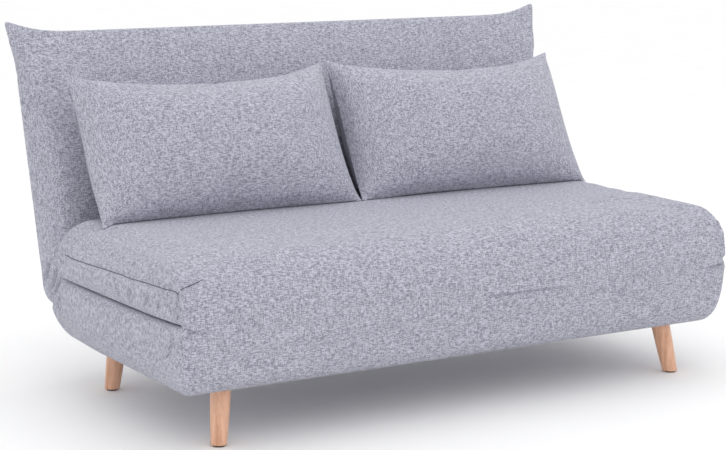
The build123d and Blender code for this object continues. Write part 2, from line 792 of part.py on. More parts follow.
def seat_foam_cuts():
    """Pocket for the seat frame, slots for its hinge plates and the recesses at its free end."""
    pocket_half = moving_rail_x + seat_rail + pocket_clearance
    block((-pocket_half, seat_rail_front_u - pocket_clearance,
           seat_rail_level - seat_rail / 2 - pocket_clearance),
          (pocket_half, seat_rail_rear_u + pocket_clearance,
           seat_rail_top_v + webbing_thickness + pocket_clearance), Mode.SUBTRACT)
    for side, sign in sides:
        hinge_notches(sign)
        block((sign * slot_in, -pad_length, -pad_thickness),
              (sign * slot_out, flip_plate_path[2][0] + plate_widths[2], seat_rail_level + seat_rail / 2),
              Mode.SUBTRACT)
        support_recess(sign)


foam_split = Plane.XY.offset(z_of(seat_rail_level))
for name, keep in (("seat_foam_lower", Keep.BOTTOM), ("seat_foam_upper", Keep.TOP)):
    with BuildPart() as seat_foam:
        loft(seat_sections(foam_skin), ruled=True)
        seat_foam_cuts()
        split(bisect_by=foam_split, keep=keep)
    save(seat_foam, name)

with BuildPart() as seat_cover:
    loft(seat_sections(0), ruled=True)
    loft(seat_sections(cover_thickness), ruled=True, mode=Mode.SUBTRACT)
    for side, sign in sides:
        hinge_notches(sign)
        support_recess(sign)
save(seat_cover, "seat_cover")

# Support legs of the seat's free end, folded flat
bracket_low_v = seat_rail_level - seat_rail / 2
with BuildPart() as support_brackets:
    for side, sign in sides:
        block((sign * support_x - support_bracket_width / 2, seat_rail_rear_u, bracket_low_v),
              (sign * support_x + support_bracket_width / 2, bracket_rear_u,
               support_level + support_bracket_margin))
        pivot = (sign * support_x, y_of(seat_rail_rear_u), z_of(support_level))
        rod(pivot, (pivot[0], y_of(bracket_rear_u), pivot[2]), support_pin_radius, Mode.SUBTRACT)
save(support_brackets, "support_brackets")

rod_rear_u = rod_u + support_rod_radius
pin_head_radius = support_pin_radius + pin_head_extra
with BuildPart() as support_pins:
    for side, sign in sides:
        for low, high, radius in (
            (seat_rail_rear_u - pin_head_thickness, seat_rail_rear_u, pin_head_radius),
            (seat_rail_rear_u, rod_rear_u, support_pin_radius),
            (bracket_rear_u, bracket_rear_u + support_washer - cover_clearance, pin_head_radius),
            (rod_rear_u + cover_clearance, rod_rear_u + pin_head_thickness, pin_head_radius),
            (rod_rear_u, rod_rear_u + pin_head_thickness, support_pin_radius),
        ):
            rod((sign * support_x, y_of(low), z_of(support_level)),
                (sign * support_x, y_of(high), z_of(support_level)), radius)
save(support_pins, "support_pins")

for side, sign in sides:
    tip_x = sign * (support_x - support_length)
    shoulder_x = tip_x + sign * support_foot_length
    with BuildPart() as support_leg:
        rod((sign * (support_x + support_end_margin), y_of(rod_u), z_of(support_level)),
            (tip_x + sign * support_foot_base, y_of(rod_u), z_of(support_level)), support_rod_radius)
        rod((sign * support_x, y_of(bracket_rear_u), z_of(support_level)),
            (sign * support_x, y_of(2 * rod_u), z_of(support_level)),
            support_pin_radius + running_clearance, Mode.SUBTRACT)
    save(support_leg, f"support_leg_{side}")

    with BuildPart() as support_foot:
        rod((tip_x, y_of(rod_u), z_of(support_level)), (shoulder_x, y_of(rod_u), z_of(support_level)),
            support_foot_radius)
        rod((tip_x + sign * support_foot_base, y_of(rod_u), z_of(support_level)),
            (shoulder_x, y_of(rod_u), z_of(support_level)), support_rod_radius, Mode.SUBTRACT)
    save(support_foot, f"support_foot_{side}")

# Frame of the backrest
back_rail_x = moving_rail_x + back_rail_width / 2
for side, sign in sides:
    with BuildPart() as back_side_rail:
        box_tube(on_back(sign * back_rail_x, back_rail_t, (back_rail_start + back_rail_end) / 2),
                 (back_rail_width, back_rail_depth, back_rail_end - back_rail_start), "z")
        for s, t in recline_plate_bolts:
            inner = on_back(sign * moving_rail_x, t, s).position
            rod(inner, inner + Vector(sign * bolt_length, 0, 0), bolt_radius + bolt_clearance, Mode.SUBTRACT)
    save(back_side_rail, f"back_side_rail_{side}")

back_cross_high = back_rail_end - back_rail_depth / 2
for name, s in (("back_bottom_rail", back_cross_low), ("back_top_rail", back_cross_high)):
    with BuildPart() as back_cross_rail:
        box_tube(on_back(0, back_rail_t, s), (2 * moving_rail_x, back_rail_depth, back_rail_depth), "x")
    save(back_cross_rail, name)

webbing_middle = (back_cross_low + back_cross_high) / 2
webbing_half = moving_rail_x + back_rail_width
back_webbing_pitch = (back_cross_high - back_cross_low) / back_webbing_count
with BuildPart() as back_webbing:
    for i in range(back_webbing_count):
        s = webbing_middle + (i - (back_webbing_count - 1) / 2) * back_webbing_pitch
        back_block((-webbing_half, back_rail_front_t - webbing_thickness, s - webbing_width / 2),
                   (webbing_half, back_rail_front_t, s + webbing_width / 2))
save(back_webbing, "back_webbing")

for side, sign in sides:
    start_x = max(sign * moving_plate_x, sign * moving_rail_x)
    with BuildPart() as recline_plate:
        with BuildSketch(back_side_plane(start_x)):
            straps(recline_plate_path, recline_plate_widths)
            boss((0, 0), recline_boss_radius)
            holes([(0, 0)], recline_pin_radius + running_clearance)
            holes(recline_plate_bolts, bolt_radius + bolt_clearance)
        extrude(amount=hinge_plate)
    save(recline_plate, f"recline_plate_{side}")

with BuildPart() as back_hinge_bolts:
    for side, sign in sides:
        for s, t in recline_plate_bolts:
            hinge_bolt(tuple(on_back(sign * moving_plate_x, t, s).position), sign)
save(back_hinge_bolts, "back_hinge_bolts")

# Foam and cover of the backrest
back_rail_rear_t = back_rail_front_t + back_rail_depth
hanger_low = back_rail_end - back_rail_depth - slot_clearance
hanger_high = hanger_s + hanger_width / 2 + slot_clearance


def hanger_slots():
    """Openings in the back of the backrest for the rear leg's hangers."""
    half = hanger_thickness / 2 + slot_clearance
    for side, sign in sides:
        back_block((sign * (hanger_x - half), back_rail_rear_t, hanger_low),
                   (sign * (hanger_x + half), 2 * back_thickness, hanger_high), Mode.SUBTRACT)


with BuildPart() as back_foam:
    loft(back_sections(foam_skin), ruled=True)
    back_block((-webbing_half - pocket_clearance, back_rail_front_t - webbing_thickness - pocket_clearance,
                back_rail_start - pocket_clearance),
               (webbing_half + pocket_clearance, back_rail_rear_t + pocket_clearance,
                back_rail_end + pocket_clearance), Mode.SUBTRACT)
    for side, sign in sides:
        hinge_notches(sign)
        back_block((sign * slot_in, -back_crown, -back_foot_round),
                   (sign * slot_out, back_rail_t + recline_boss_radius + slot_clearance,
                    recline_plate_path[-1][0]), Mode.SUBTRACT)
    hanger_slots()
save(back_foam, "back_foam")

with BuildPart() as back_cover:
    loft(back_sections(0), ruled=True)
    for side, sign in sides:
        rise = radians(ear_rise)
        ear_s = back_length - ear_inset
        corner = on_back(sign * (back_half_width(ear_s) - ear_inset), (back_top_front + back_rear(ear_s)) / 2,
                         ear_s).position
        tip_way = Vector(sign * cos(rise), 0, 0) + Vector(*up_back) * sin(rise)
        with BuildSketch(Plane(origin=corner, z_dir=tip_way)):
            Circle(ear_radius)
        extrude(amount=ear_length, taper=ear_taper)
    loft(back_sections(cover_thickness), ruled=True, mode=Mode.SUBTRACT)
    for side, sign in sides:
        hinge_notches(sign)
    hanger_slots()
save(back_cover, "back_cover")

# Rear leg that hangs behind the backrest
hanger_pivot = on_back(0, hanger_t, hanger_s).position
with BuildPart() as rear_leg_hangers:
    for side, sign in sides:
        start_x = max(sign * (hanger_x - hanger_thickness / 2), sign * (hanger_x + hanger_thickness / 2))
        with BuildSketch(back_side_plane(start_x)):
            strap((back_cross_high, back_rail_rear_t), (hanger_s, hanger_t), hanger_width)
            with Locations((back_cross_high, back_rail_rear_t - hanger_width)):
                Rectangle(4 * hanger_width, 2 * hanger_width, mode=Mode.SUBTRACT)
            holes([(hanger_s, hanger_t)], support_pin_radius)
        extrude(amount=hanger_thickness)
save(rear_leg_hangers, "rear_leg_hangers")

arm_x = hanger_x + hanger_thickness / 2 + arm_gap + arm_radius
with BuildPart() as rear_leg_pins:
    for side, sign in sides:
        y, z = hanger_pivot.Y, hanger_pivot.Z
        inner = hanger_x - hanger_thickness / 2
        washer = hanger_x + hanger_thickness / 2
        outer = arm_x + arm_radius
        for low, high, radius in (
            (inner - pin_head_thickness, inner, pin_head_radius),
            (inner, outer + pin_head_thickness, support_pin_radius),
            (washer, washer + arm_gap - cover_clearance, pin_head_radius),
            (outer + cover_clearance, outer + pin_head_thickness, pin_head_radius),
        ):
            rod((sign * low, y, z), (sign * high, y, z), radius)
save(rear_leg_pins, "rear_leg_pins")

rear_leg_length = fold_height - hanger_t - floor_clearance
foot_level = hanger_pivot.Z - rear_leg_length
arm_bottom = foot_level + arm_foot_base
bar_level = foot_level + arm_bar_rise
for side, sign in sides:
    with BuildPart() as rear_leg_arm:
        rod((sign * arm_x, hanger_pivot.Y, arm_bottom),
            (sign * arm_x, hanger_pivot.Y, hanger_pivot.Z + arm_top_margin), arm_radius)
        rod((sign * (arm_x - 2 * arm_radius), hanger_pivot.Y, hanger_pivot.Z),
            (sign * (arm_x + 2 * arm_radius), hanger_pivot.Y, hanger_pivot.Z),
            support_pin_radius + running_clearance, Mode.SUBTRACT)
    save(rear_leg_arm, f"rear_leg_arm_{side}")

with BuildPart() as rear_leg_bar:
    rod((-arm_x, hanger_pivot.Y, bar_level), (arm_x, hanger_pivot.Y, bar_level), arm_radius - tube_wall)
    for side, sign in sides:
        rod((sign * arm_x, hanger_pivot.Y, arm_bottom), (sign * arm_x, hanger_pivot.Y, hanger_pivot.Z),
            arm_radius, Mode.SUBTRACT)
save(rear_leg_bar, "rear_leg_bar")

with BuildPart() as rear_leg_feet:
    for side, sign in sides:
        rod((sign * arm_x, hanger_pivot.Y, foot_level),
            (sign * arm_x, hanger_pivot.Y, foot_level + arm_foot_length), arm_foot_radius)
        rod((sign * arm_x, hanger_pivot.Y, arm_bottom),
            (sign * arm_x, hanger_pivot.Y, foot_level + arm_foot_length), arm_radius, Mode.SUBTRACT)
save(rear_leg_feet, "rear_leg_feet")

# Loose pillows
for side, sign in sides:
    with BuildPart() as pillow_filling:
        loft(pillow_sections(sign, foam_skin), ruled=True)
    save(pillow_filling, f"pillow_filling_{side}")

    with BuildPart() as pillow_cover:
        loft(pillow_sections(sign, 0), ruled=True)
        loft(pillow_sections(sign, cover_thickness), ruled=True, mode=Mode.SUBTRACT)
    save(pillow_cover, f"pillow_cover_{side}")
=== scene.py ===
import cmath
import json
import math

import bmesh
import bpy
import numpy as np
from bpy.props import FloatProperty, FloatVectorProperty, IntProperty, PointerProperty
from bpy.types import Operator, Panel, PropertyGroup
from mathutils import Matrix, Vector
from mathutils.bvhtree import BVHTree
from mathutils.kdtree import KDTree


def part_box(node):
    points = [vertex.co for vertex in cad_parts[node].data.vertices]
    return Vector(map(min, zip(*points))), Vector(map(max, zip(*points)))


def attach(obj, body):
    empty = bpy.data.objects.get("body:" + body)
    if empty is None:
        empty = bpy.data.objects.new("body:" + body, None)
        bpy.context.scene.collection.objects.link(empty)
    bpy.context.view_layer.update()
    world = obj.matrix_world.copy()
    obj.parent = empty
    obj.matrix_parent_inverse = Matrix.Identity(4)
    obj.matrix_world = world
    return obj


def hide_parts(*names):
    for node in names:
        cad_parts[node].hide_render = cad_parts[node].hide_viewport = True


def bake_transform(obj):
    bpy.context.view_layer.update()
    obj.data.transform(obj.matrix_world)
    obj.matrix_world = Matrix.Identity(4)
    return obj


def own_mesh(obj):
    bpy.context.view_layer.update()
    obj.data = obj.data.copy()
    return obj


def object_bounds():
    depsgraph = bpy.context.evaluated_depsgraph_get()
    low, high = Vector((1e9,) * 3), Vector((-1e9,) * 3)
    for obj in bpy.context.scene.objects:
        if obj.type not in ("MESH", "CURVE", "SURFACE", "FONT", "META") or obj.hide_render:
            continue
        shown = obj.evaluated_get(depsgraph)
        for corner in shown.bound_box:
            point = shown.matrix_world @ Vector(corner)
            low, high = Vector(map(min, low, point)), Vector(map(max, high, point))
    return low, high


bl_info = {
    "name": "Folding sofa bed",
    "version": (1, 0, 0),
    "blender": (4, 5, 0),
    "location": "View3D > Sidebar > Sofa bed",
    "description": "Sewn covers, pillows and finishes for a three-section folding sofa bed",
    "category": "Object",
}

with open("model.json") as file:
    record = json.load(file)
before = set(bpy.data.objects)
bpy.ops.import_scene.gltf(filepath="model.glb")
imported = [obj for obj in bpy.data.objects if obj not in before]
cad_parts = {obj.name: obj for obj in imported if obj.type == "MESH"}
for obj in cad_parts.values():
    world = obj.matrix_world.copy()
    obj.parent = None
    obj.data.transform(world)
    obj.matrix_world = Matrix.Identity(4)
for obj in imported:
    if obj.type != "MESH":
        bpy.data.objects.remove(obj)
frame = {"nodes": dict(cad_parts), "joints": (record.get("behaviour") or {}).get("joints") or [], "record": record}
cad_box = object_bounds()
joint_places = {joint["name"]: Vector(joint["pos_m"]) for joint in frame["joints"] if "pos_m" in joint}
fold = joint_places["seat_flip"]
hinge = joint_places["back_recline"]
seat_high = Vector(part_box("seat_cover")[1])
seat_half = seat_high.x
pad_thickness = seat_high.z - fold.z
pad_length = hinge.y - fold.y
seat_length = seat_high.y - fold.y
ray_start = Vector((0, fold.y - 0.3, cad_box[1][2] + 0.2))
sides = (("left", -1), ("right", 1))


# Sizes and colours that a user would change

def metres(name, description, default):
    """A size."""
    return FloatProperty(name=name, description=description, default=default, unit="LENGTH")


def degrees(name, description, default):
    """An angle, which Blender keeps in radians."""
    return FloatProperty(name=name, description=description, default=math.radians(default), unit="ROTATION")


def colour(name, description, default):
    """A colour in linear red, green and blue."""
    return FloatVectorProperty(name=name, description=description, default=default, size=3, subtype="COLOR")


class SofaSizes(PropertyGroup):
    """Sizes of the covers and pillows."""

    pad_gap: metres("Pad gap", "Half the gap between the two pads", 0.002)
    front_swell: metres("Front swell", "How far the covers stand out at the fold", 0.011)
    seat_front_round: metres("Seat front round", "Radius of the seat's front edge", 0.078)
    seat_front_drop: metres("Seat front drop", "Fall of the seat toward its front", 0.012)
    pad_end_depth: metres("Pad end depth", "Depth of the rounding at the pads' ends", 0.024)
    seat_shoulder: metres("Seat shoulder", "Extra rounding above the side seam", 0.028)
    pad_end_swell: metres("Pad end swell", "How far the pads' ends stand out", 0.009)
    base_foot_inset: metres("Lower pad foot inset", "How far its ends lean in at the foot", 0.023)
    base_rear_inset: metres("Lower pad rear inset", "How far its ends draw in at the rear", 0.011)
    base_sag: metres("Lower pad sag", "How far its cloth hangs below the solid", 0.018)
    corner_lift: metres("Corner lift", "How far the gap rises at the front corners", 0.008)
    corner_fall: metres("Corner fall", "How far the seat's top falls at the front corners", 0.011)
    fold_give: metres("Fold give", "How far the seat's front gives way on the open bed", 0.026)
    wrap_half_width: metres("Front band half width", "Half length of the band on the fold", 0.741)
    wrap_rise: metres("Front band rise", "Half height of the band on the fold", 0.072)
    back_length: metres("Backrest length", "From the hinge line to the top edge", 0.600)
    back_depth: metres("Backrest depth", "Thickness of the wedge at its foot", 0.165)
    back_lean: degrees("Backrest lean", "Lean of the backrest behind upright", 18)
    back_half_foot: metres("Backrest half width, foot", "Half width at the hinge", 0.734)
    back_half_head: metres("Backrest half width, head", "Half width at the top edge", 0.772)
    back_shift: metres("Backrest shift", "How far its cover sits to the right", 0.004)
    back_crown: metres("Backrest crown", "Swell of the backrest's front", 0.016)
    ear_reach: metres("Ear reach", "How far the top corners point outward", 0.010)
    ear_rise: metres("Ear rise", "How far the top corners point upward", 0.030)
    pillow_width: metres("Pillow width", "From tip to tip", 0.702)
    pillow_height: metres("Pillow height", "From tip to tip", 0.384)
    pillow_depth: metres("Pillow depth", "Thickness at the crown", 0.200)
    pillow_tilt: degrees("Pillow tilt", "Lean of the pillows behind upright", 27)
    pillow_draw: metres("Pillow draw-in", "How far the sides pull in between the tips", 0.014)
    pillow_dip: metres("Pillow dip", "How far the long edges dip between the tips", 0.050)
    pillow_rear_fill: metres("Pillow rear fill", "Extra swell of the panel on the backrest", 0.095)
    pillow_welt: metres("Pillow welt", "Half thickness of the seam allowance at the rim", 0.002)
    pillow_lap: metres("Pillow lap", "How far the bottom seam lies forward on the seat", 0.030)
    cloth_frames: IntProperty(name="Cloth frames", description="Steps of each cover's cloth simulation",
                              default=20, min=1)


class SofaColours(PropertyGroup):
    """Colours of the finishes."""

    thread_light: colour("Light thread", "Pale threads of the melange cloth", (0.56, 0.565, 0.65))
    thread_dark: colour("Dark thread", "Grey threads of the melange cloth", (0.21, 0.21, 0.265))
    # Painted shade: this colour darkens the ridges in the seams, standing in for the shade in their grooves
    seam_shade: colour("Seam", "Shaded cloth and thread in the seams", (0.10, 0.10, 0.135))
    beech_light: colour("Light beech", "Pale wood between the grain lines", (0.78, 0.46, 0.31))
    beech_dark: colour("Dark beech", "Grain lines of the legs", (0.58, 0.29, 0.17))
    floor: colour("Floor", "Pale studio floor", (0.96, 0.96, 0.96))


# Meshes

def rounded_outline(corners, count):
    """Points at equal steps along a closed outline with rounded corners (a, b, radius)."""
    steps = 12
    line = []
    for i, (a, b, radius) in enumerate(corners):
        here = complex(a, b)
        back = complex(*corners[i - 1][:2]) - here
        ahead = complex(*corners[(i + 1) % len(corners)][:2]) - here
        back /= abs(back)
        ahead /= abs(ahead)
        half = abs(cmath.phase(ahead / back)) / 2
        run = radius / math.tan(half)
        middle = (back + ahead) / abs(back + ahead)
        centre = here + middle * radius / math.sin(half)
        spoke = here + back * run - centre
        turn = cmath.phase((here + ahead * run - centre) / spoke)
        line += [centre + spoke * cmath.exp(1j * turn * step / steps) for step in range(steps + 1)]
    line = np.array(line + line[:1])
    along = np.concatenate([[0], np.cumsum(np.abs(np.diff(line)))])
    marks = np.linspace(0, along[-1], count, endpoint=False)
    return np.stack([np.interp(marks, along, line.real), np.interp(marks, along, line.imag)], axis=1)


def start_at_front(outline, middle):
    """The same outline, begun at its foremost point at mid height."""
    return np.roll(outline, -int(np.argmin(outline[:, 0] + np.abs(outline[:, 1] - middle))), axis=0)


def onto_spine(points, spine):
    """For each point of a side outline, the nearest point on the pad's spine."""
    best = np.full(len(points), np.inf)
    nearest = np.zeros_like(points)
    for start, end in zip(np.array(spine[:-1]), np.array(spine[1:])):
        run = end - start
        share = np.clip((points - start) @ run / (run @ run), 0, 1)
        spots = start + share[:, None] * run
        gap = np.linalg.norm(points - spots, axis=1)
        closer = gap < best
        best[closer] = gap[closer]
        nearest[closer] = spots[closer]
    return nearest


def smooth_rise(values, low, high):
    """0 below low, 1 above high and a smooth rise between."""
    share = np.clip((values - low) / (high - low), 0, 1)
    return share ** 2 * (3 - 2 * share)


def pad_rings(outline, fullness, spine, half_width, end_depth, columns):
    """Rings (X, a, b) of a pad: its side outline swept along X and drawn onto its spine at the ends."""
    end_rings, last_turn = 18, math.radians(88)
    spots = onto_spine(outline, spine)
    power = np.full(len(outline), 2 / fullness)
    straight = half_width(outline) - end_depth(outline)
    rings = [((2 * share - 1) * straight, outline) for share in np.linspace(0, 1, columns)]
    ends = []
    for turn in np.linspace(0, last_turn, end_rings + 1)[1:]:
        drawn = spots + (outline - spots) * (math.cos(turn) ** power)[:, None]
        reach = half_width(drawn) - end_depth(drawn) * (1 - math.sin(turn) ** power)
        ends.append((reach, drawn))
    rings = [(-x, points) for x, points in ends[::-1]] + rings + ends
    return [np.column_stack([x, points]) for x, points in rings]


def tube_faces(rings, count):
    """Faces between equal rings of points, each joined to the next."""
    faces = []
    for start in range(0, (rings - 1) * count, count):
        for i in range(count):
            j = (i + 1) % count
            faces.append((start + i, start + j, start + count + j, start + count + i))
    return faces


def layer_faces(columns, rows):
    """Faces of two equal grids of points, which face away from each other."""
    count = columns * rows
    faces = []
    for i in range(columns - 1):
        for j in range(rows - 1):
            a = i * rows + j
            quad = (a, a + rows, a + rows + 1, a + 1)
            faces.append(quad)
            faces.append(tuple(count + k for k in quad[::-1]))
    return faces


def closed_shell(name, rings):
    """A closed mesh through equal rings of points, with its end slits sewn shut."""
    count = len(rings[0])
    faces = tube_faces(len(rings), count)
    last = (len(rings) - 1) * count
    for i in range(count // 2 - 1):
        pair = (i, i + 1, count - 2 - i, count - 1 - i)
        faces.append(pair)
        faces.append(tuple(last + k for k in pair[::-1]))
    return new_piece(name, np.concatenate(rings), faces)


def new_object(name, data):
    """An object of the scene that holds a mesh, a lamp or a camera."""
    thing = bpy.data.objects.new(name, data)
    bpy.context.scene.collection.objects.link(thing)
    return thing


def new_piece(name, points, faces):
    """A mesh object with its doubled points merged, smooth shading and outward normals."""
    merge_distance = 1e-5
    mesh = bpy.data.meshes.new(name)
    mesh.from_pydata([tuple(p) for p in points], [], faces)
    work = bmesh.new()
    work.from_mesh(mesh)
    bmesh.ops.remove_doubles(work, verts=work.verts, dist=merge_distance)
    bmesh.ops.recalc_face_normals(work, faces=work.faces)
    work.to_mesh(mesh)
    work.free()
    mesh.shade_smooth()
    return new_object(name, mesh)


def vectors(items, attribute):
    """An attribute of a mesh's points or normals as an array."""
    values = np.empty(len(items) * 3)
    items.foreach_get(attribute, values)
    return values.reshape(-1, 3)


def points_of(mesh):
    return vectors(mesh.vertices, "co")


def set_points(mesh, points):
    mesh.vertices.foreach_set("co", np.ascontiguousarray(points).ravel())
    mesh.update()


def inflate(piece, held, pressure, cap, slack=0.0, bending=2.0):
    """Swell a cover as cloth under pressure, with some points held and every move capped."""
    least_move = 1e-9
    scene = bpy.context.scene
    frames = scene.sofa_sizes.cloth_frames
    before = points_of(piece.data)
    group = piece.vertex_groups.new(name="held")
    group.add([int(i) for i in np.flatnonzero(held)], 1.0, "REPLACE")
    cloth = piece.modifiers.new("cover cloth", "CLOTH")
    settings = cloth.settings
    settings.quality = 4
    settings.mass = 0.3
    settings.tension_stiffness = 25
    settings.compression_stiffness = 25
    settings.shear_stiffness = 8
    settings.bending_stiffness = bending
    settings.use_pressure = True
    settings.uniform_pressure_force = pressure
    settings.shrink_min = -slack
    settings.vertex_group_mass = "held"
    settings.effector_weights.gravity = 0
    cloth.point_cache.frame_start = 1
    cloth.point_cache.frame_end = frames
    for step in range(1, frames + 1):
        scene.frame_set(step)
    swollen = piece.evaluated_get(bpy.context.evaluated_depsgraph_get())
    move = points_of(swollen.data) - before
    piece.modifiers.remove(cloth)
    piece.vertex_groups.remove(group)
    scene.frame_set(1)
    size = np.linalg.norm(move, axis=1, keepdims=True)
    set_points(piece.data, before + move * np.minimum(1, cap / np.maximum(size, least_move)))


def refine(piece):
    """Subdivide a cover smoothly and keep the result as its mesh."""
    piece.modifiers.new("fine weave", "SUBSURF").levels = 1
    shape = piece.evaluated_get(bpy.context.evaluated_depsgraph_get())
    mesh = bpy.data.meshes.new_from_object(shape)
    piece.modifiers.clear()
    piece.data = mesh


# Materials

# Dark and light tone, roughness, grains per metre, bump and metallic share
plain_finishes = {
    "foam": ((0.62, 0.58, 0.42), (0.76, 0.72, 0.56), 0.95, 700, 0.5, 0.0),
    "black_plastic": ((0.012, 0.012, 0.013), (0.022, 0.022, 0.024), 0.5, 900, 0.25, 0.0),
    "frame_steel": ((0.014, 0.014, 0.015), (0.026, 0.026, 0.028), 0.45, 1200, 0.3, 0.0),
    "zinc_steel": ((0.42, 0.43, 0.45), (0.56, 0.57, 0.59), 0.32, 500, 0.1, 1.0),
}
slat_tones = (0.55, 0.38, 0.21), (0.74, 0.56, 0.36)
webbing_tones = (0.02, 0.02, 0.022), (0.05, 0.05, 0.055)
# Shares of the seam colour for the dark and light tones of the painted shade on the seam ridges
seam_shares = 0.8, 1.3


def add_node(tree, kind, inputs, **settings):
    """A new node with some settings, and its inputs set to values or linked to outputs."""
    node = tree.nodes.new(kind)
    for name, value in settings.items():
        setattr(node, name, value)
    for name, value in inputs.items():
        if isinstance(value, bpy.types.NodeSocket):
            tree.links.new(value, node.inputs[name])
        else:
            node.inputs[name].default_value = value
    return node


def start_material(name, inputs):
    """A new material, its node tree, its shader with some inputs set and the object coordinates."""
    material = bpy.data.materials.new(name)
    material.use_nodes = True
    tree = material.node_tree
    tree.nodes.clear()
    shader = add_node(tree, "ShaderNodeBsdfPrincipled", inputs)
    add_node(tree, "ShaderNodeOutputMaterial", {"Surface": shader.outputs["BSDF"]})
    return material, tree, shader, add_node(tree, "ShaderNodeTexCoord", {}).outputs["Object"]


def noise_field(tree, coords, scale, detail=2.0, stretch=(1, 1, 1)):
    """Noise at a scale per metre, stretched along the axes with a small factor."""
    mapping = add_node(tree, "ShaderNodeMapping", {"Vector": coords, "Scale": stretch})
    inputs = {"Vector": mapping.outputs["Vector"], "Scale": scale, "Detail": detail}
    return add_node(tree, "ShaderNodeTexNoise", inputs).outputs["Fac"]


def wave_field(tree, coords, scale, direction, distortion):
    """Bands across one axis, a little uneven."""
    inputs = {"Vector": coords, "Scale": scale, "Distortion": distortion, "Detail": 1.0}
    return add_node(tree, "ShaderNodeTexWave", inputs, bands_direction=direction).outputs["Fac"]


def weighted(tree, terms):
    """The sum of fields, each multiplied by its weight."""
    total = 0.0
    for field, weight in terms:
        inputs = {0: field, 1: weight, 2: total}
        total = add_node(tree, "ShaderNodeMath", inputs, operation="MULTIPLY_ADD").outputs[0]
    return total


def paint(tree, shader, field, dark, light, low, high):
    """Colour a surface from dark to light as the field goes from low to high."""
    ramp = add_node(tree, "ShaderNodeValToRGB", {"Fac": field})
    for element, position, tone in zip(ramp.color_ramp.elements, (low, high), (dark, light)):
        element.position = position
        element.color = (*tone, 1)
    tree.links.new(ramp.outputs["Color"], shader.inputs["Base Color"])


def add_bump(tree, shader, height, strength, distance):
    """Raise a surface by a field, over a distance in metres."""
    bump = add_node(tree, "ShaderNodeBump", {"Height": height, "Strength": strength, "Distance": distance})
    tree.links.new(bump.outputs["Normal"], shader.inputs["Normal"])


def melange_cloth(name, dark, light):
    """Pale woven cloth with uneven light and dark threads both ways and a soft sheen."""
    thread_scale, speckle_scale, weave_scale = 460, 520, 120
    run, unevenness, weave_share = 0.22, 2.5, 0.25
    material, tree, shader, coords = start_material(name, {
        "Roughness": 0.9, "Sheen Weight": 0.12, "Sheen Roughness": 0.6, "Specular IOR Level": 0.2})
    weft = noise_field(tree, coords, thread_scale, stretch=(run, 1, 1))
    warp = noise_field(tree, coords, thread_scale, stretch=(1, run, run))
    speckle = noise_field(tree, coords, speckle_scale)
    threads = weighted(tree, [(weft, 0.42), (warp, 0.28), (speckle, 0.3)])
    paint(tree, shader, threads, dark, light, low=0.42, high=0.58)
    weave = [(wave_field(tree, coords, weave_scale, axis, unevenness), weave_share) for axis in "XYZ"]
    add_bump(tree, shader, weighted(tree, weave + [(threads, 1.0)]), strength=0.55, distance=0.0012)
    return material


def beech(name, dark, light):
    """Lacquered beech with fine grain along the leg and short darker flecks."""
    grain_scale, grain_run = 90, 0.07
    fleck_scale, fleck_run = 420, 0.12
    material, tree, shader, coords = start_material(name, {
        "Roughness": 0.38, "Coat Weight": 0.12, "Coat Roughness": 0.25})
    grain = noise_field(tree, coords, grain_scale, detail=4, stretch=(1, 1, grain_run))
    flecks = noise_field(tree, coords, fleck_scale, stretch=(1, 1, fleck_run))
    paint(tree, shader, weighted(tree, [(grain, 0.7), (flecks, 0.3)]), dark, light, low=0.34, high=0.6)
    add_bump(tree, shader, flecks, strength=0.12, distance=0.0006)
    return material


def grained(name, dark, light, roughness, scale, bump, metallic):
    """A plain finish with fine grain in its colour and surface: foam, plastic, paint or zinc."""
    material, tree, shader, coords = start_material(name, {"Roughness": roughness, "Metallic": metallic})
    field = noise_field(tree, coords, scale, detail=4)
    paint(tree, shader, field, dark, light, low=0.35, high=0.65)
    add_bump(tree, shader, field, bump, distance=0.0008)
    return material


def ribbed_webbing(name, dark, light):
    """Elastic webbing with fine ribs."""
    rib_scale, unevenness = 160, 0.4
    material, tree, shader, coords = start_material(name, {"Roughness": 0.85})
    ribs = wave_field(tree, coords, rib_scale, "X", unevenness)
    paint(tree, shader, ribs, dark, light, low=0.2, high=0.8)
    add_bump(tree, shader, ribs, strength=0.4, distance=0.001)
    return material


def finish(name):
    """The finish of that name, made on first use beside the frame's own plain material."""
    label = f"sofa_{name}"
    if label in bpy.data.materials:
        return bpy.data.materials[label]
    colours = bpy.context.scene.sofa_colours
    if name in plain_finishes:
        return grained(label, *plain_finishes[name])
    threads = (colours.thread_dark, colours.thread_light)
    make, tones = {
        "upholstery_cloth": (melange_cloth, threads),
        "pillow_cloth": (melange_cloth, threads),
        # Painted shade: a dark cloth for the seam ridges, standing in for the shade in the seams' grooves
        "seam_thread": (melange_cloth, [[c * share for c in colours.seam_shade] for share in seam_shares]),
        "beech": (beech, (colours.beech_dark, colours.beech_light)),
        "slat_wood": (beech, slat_tones),
        "webbing": (ribbed_webbing, webbing_tones),
    }[name]
    return make(label, *tones)


def dress(piece, name):
    """Give a piece the finish of that name."""
    piece.data.materials.clear()
    piece.data.materials.append(finish(name))


# Seams and wrinkles

def surface_of(piece):
    faces = [tuple(face.vertices) for face in piece.data.polygons]
    return BVHTree.FromPolygons([tuple(p) for p in points_of(piece.data)], faces)


def steps_along(line):
    """The distance from a line's start to each of its points."""
    return np.concatenate([[0], np.cumsum(np.linalg.norm(np.diff(line, axis=0), axis=1))])


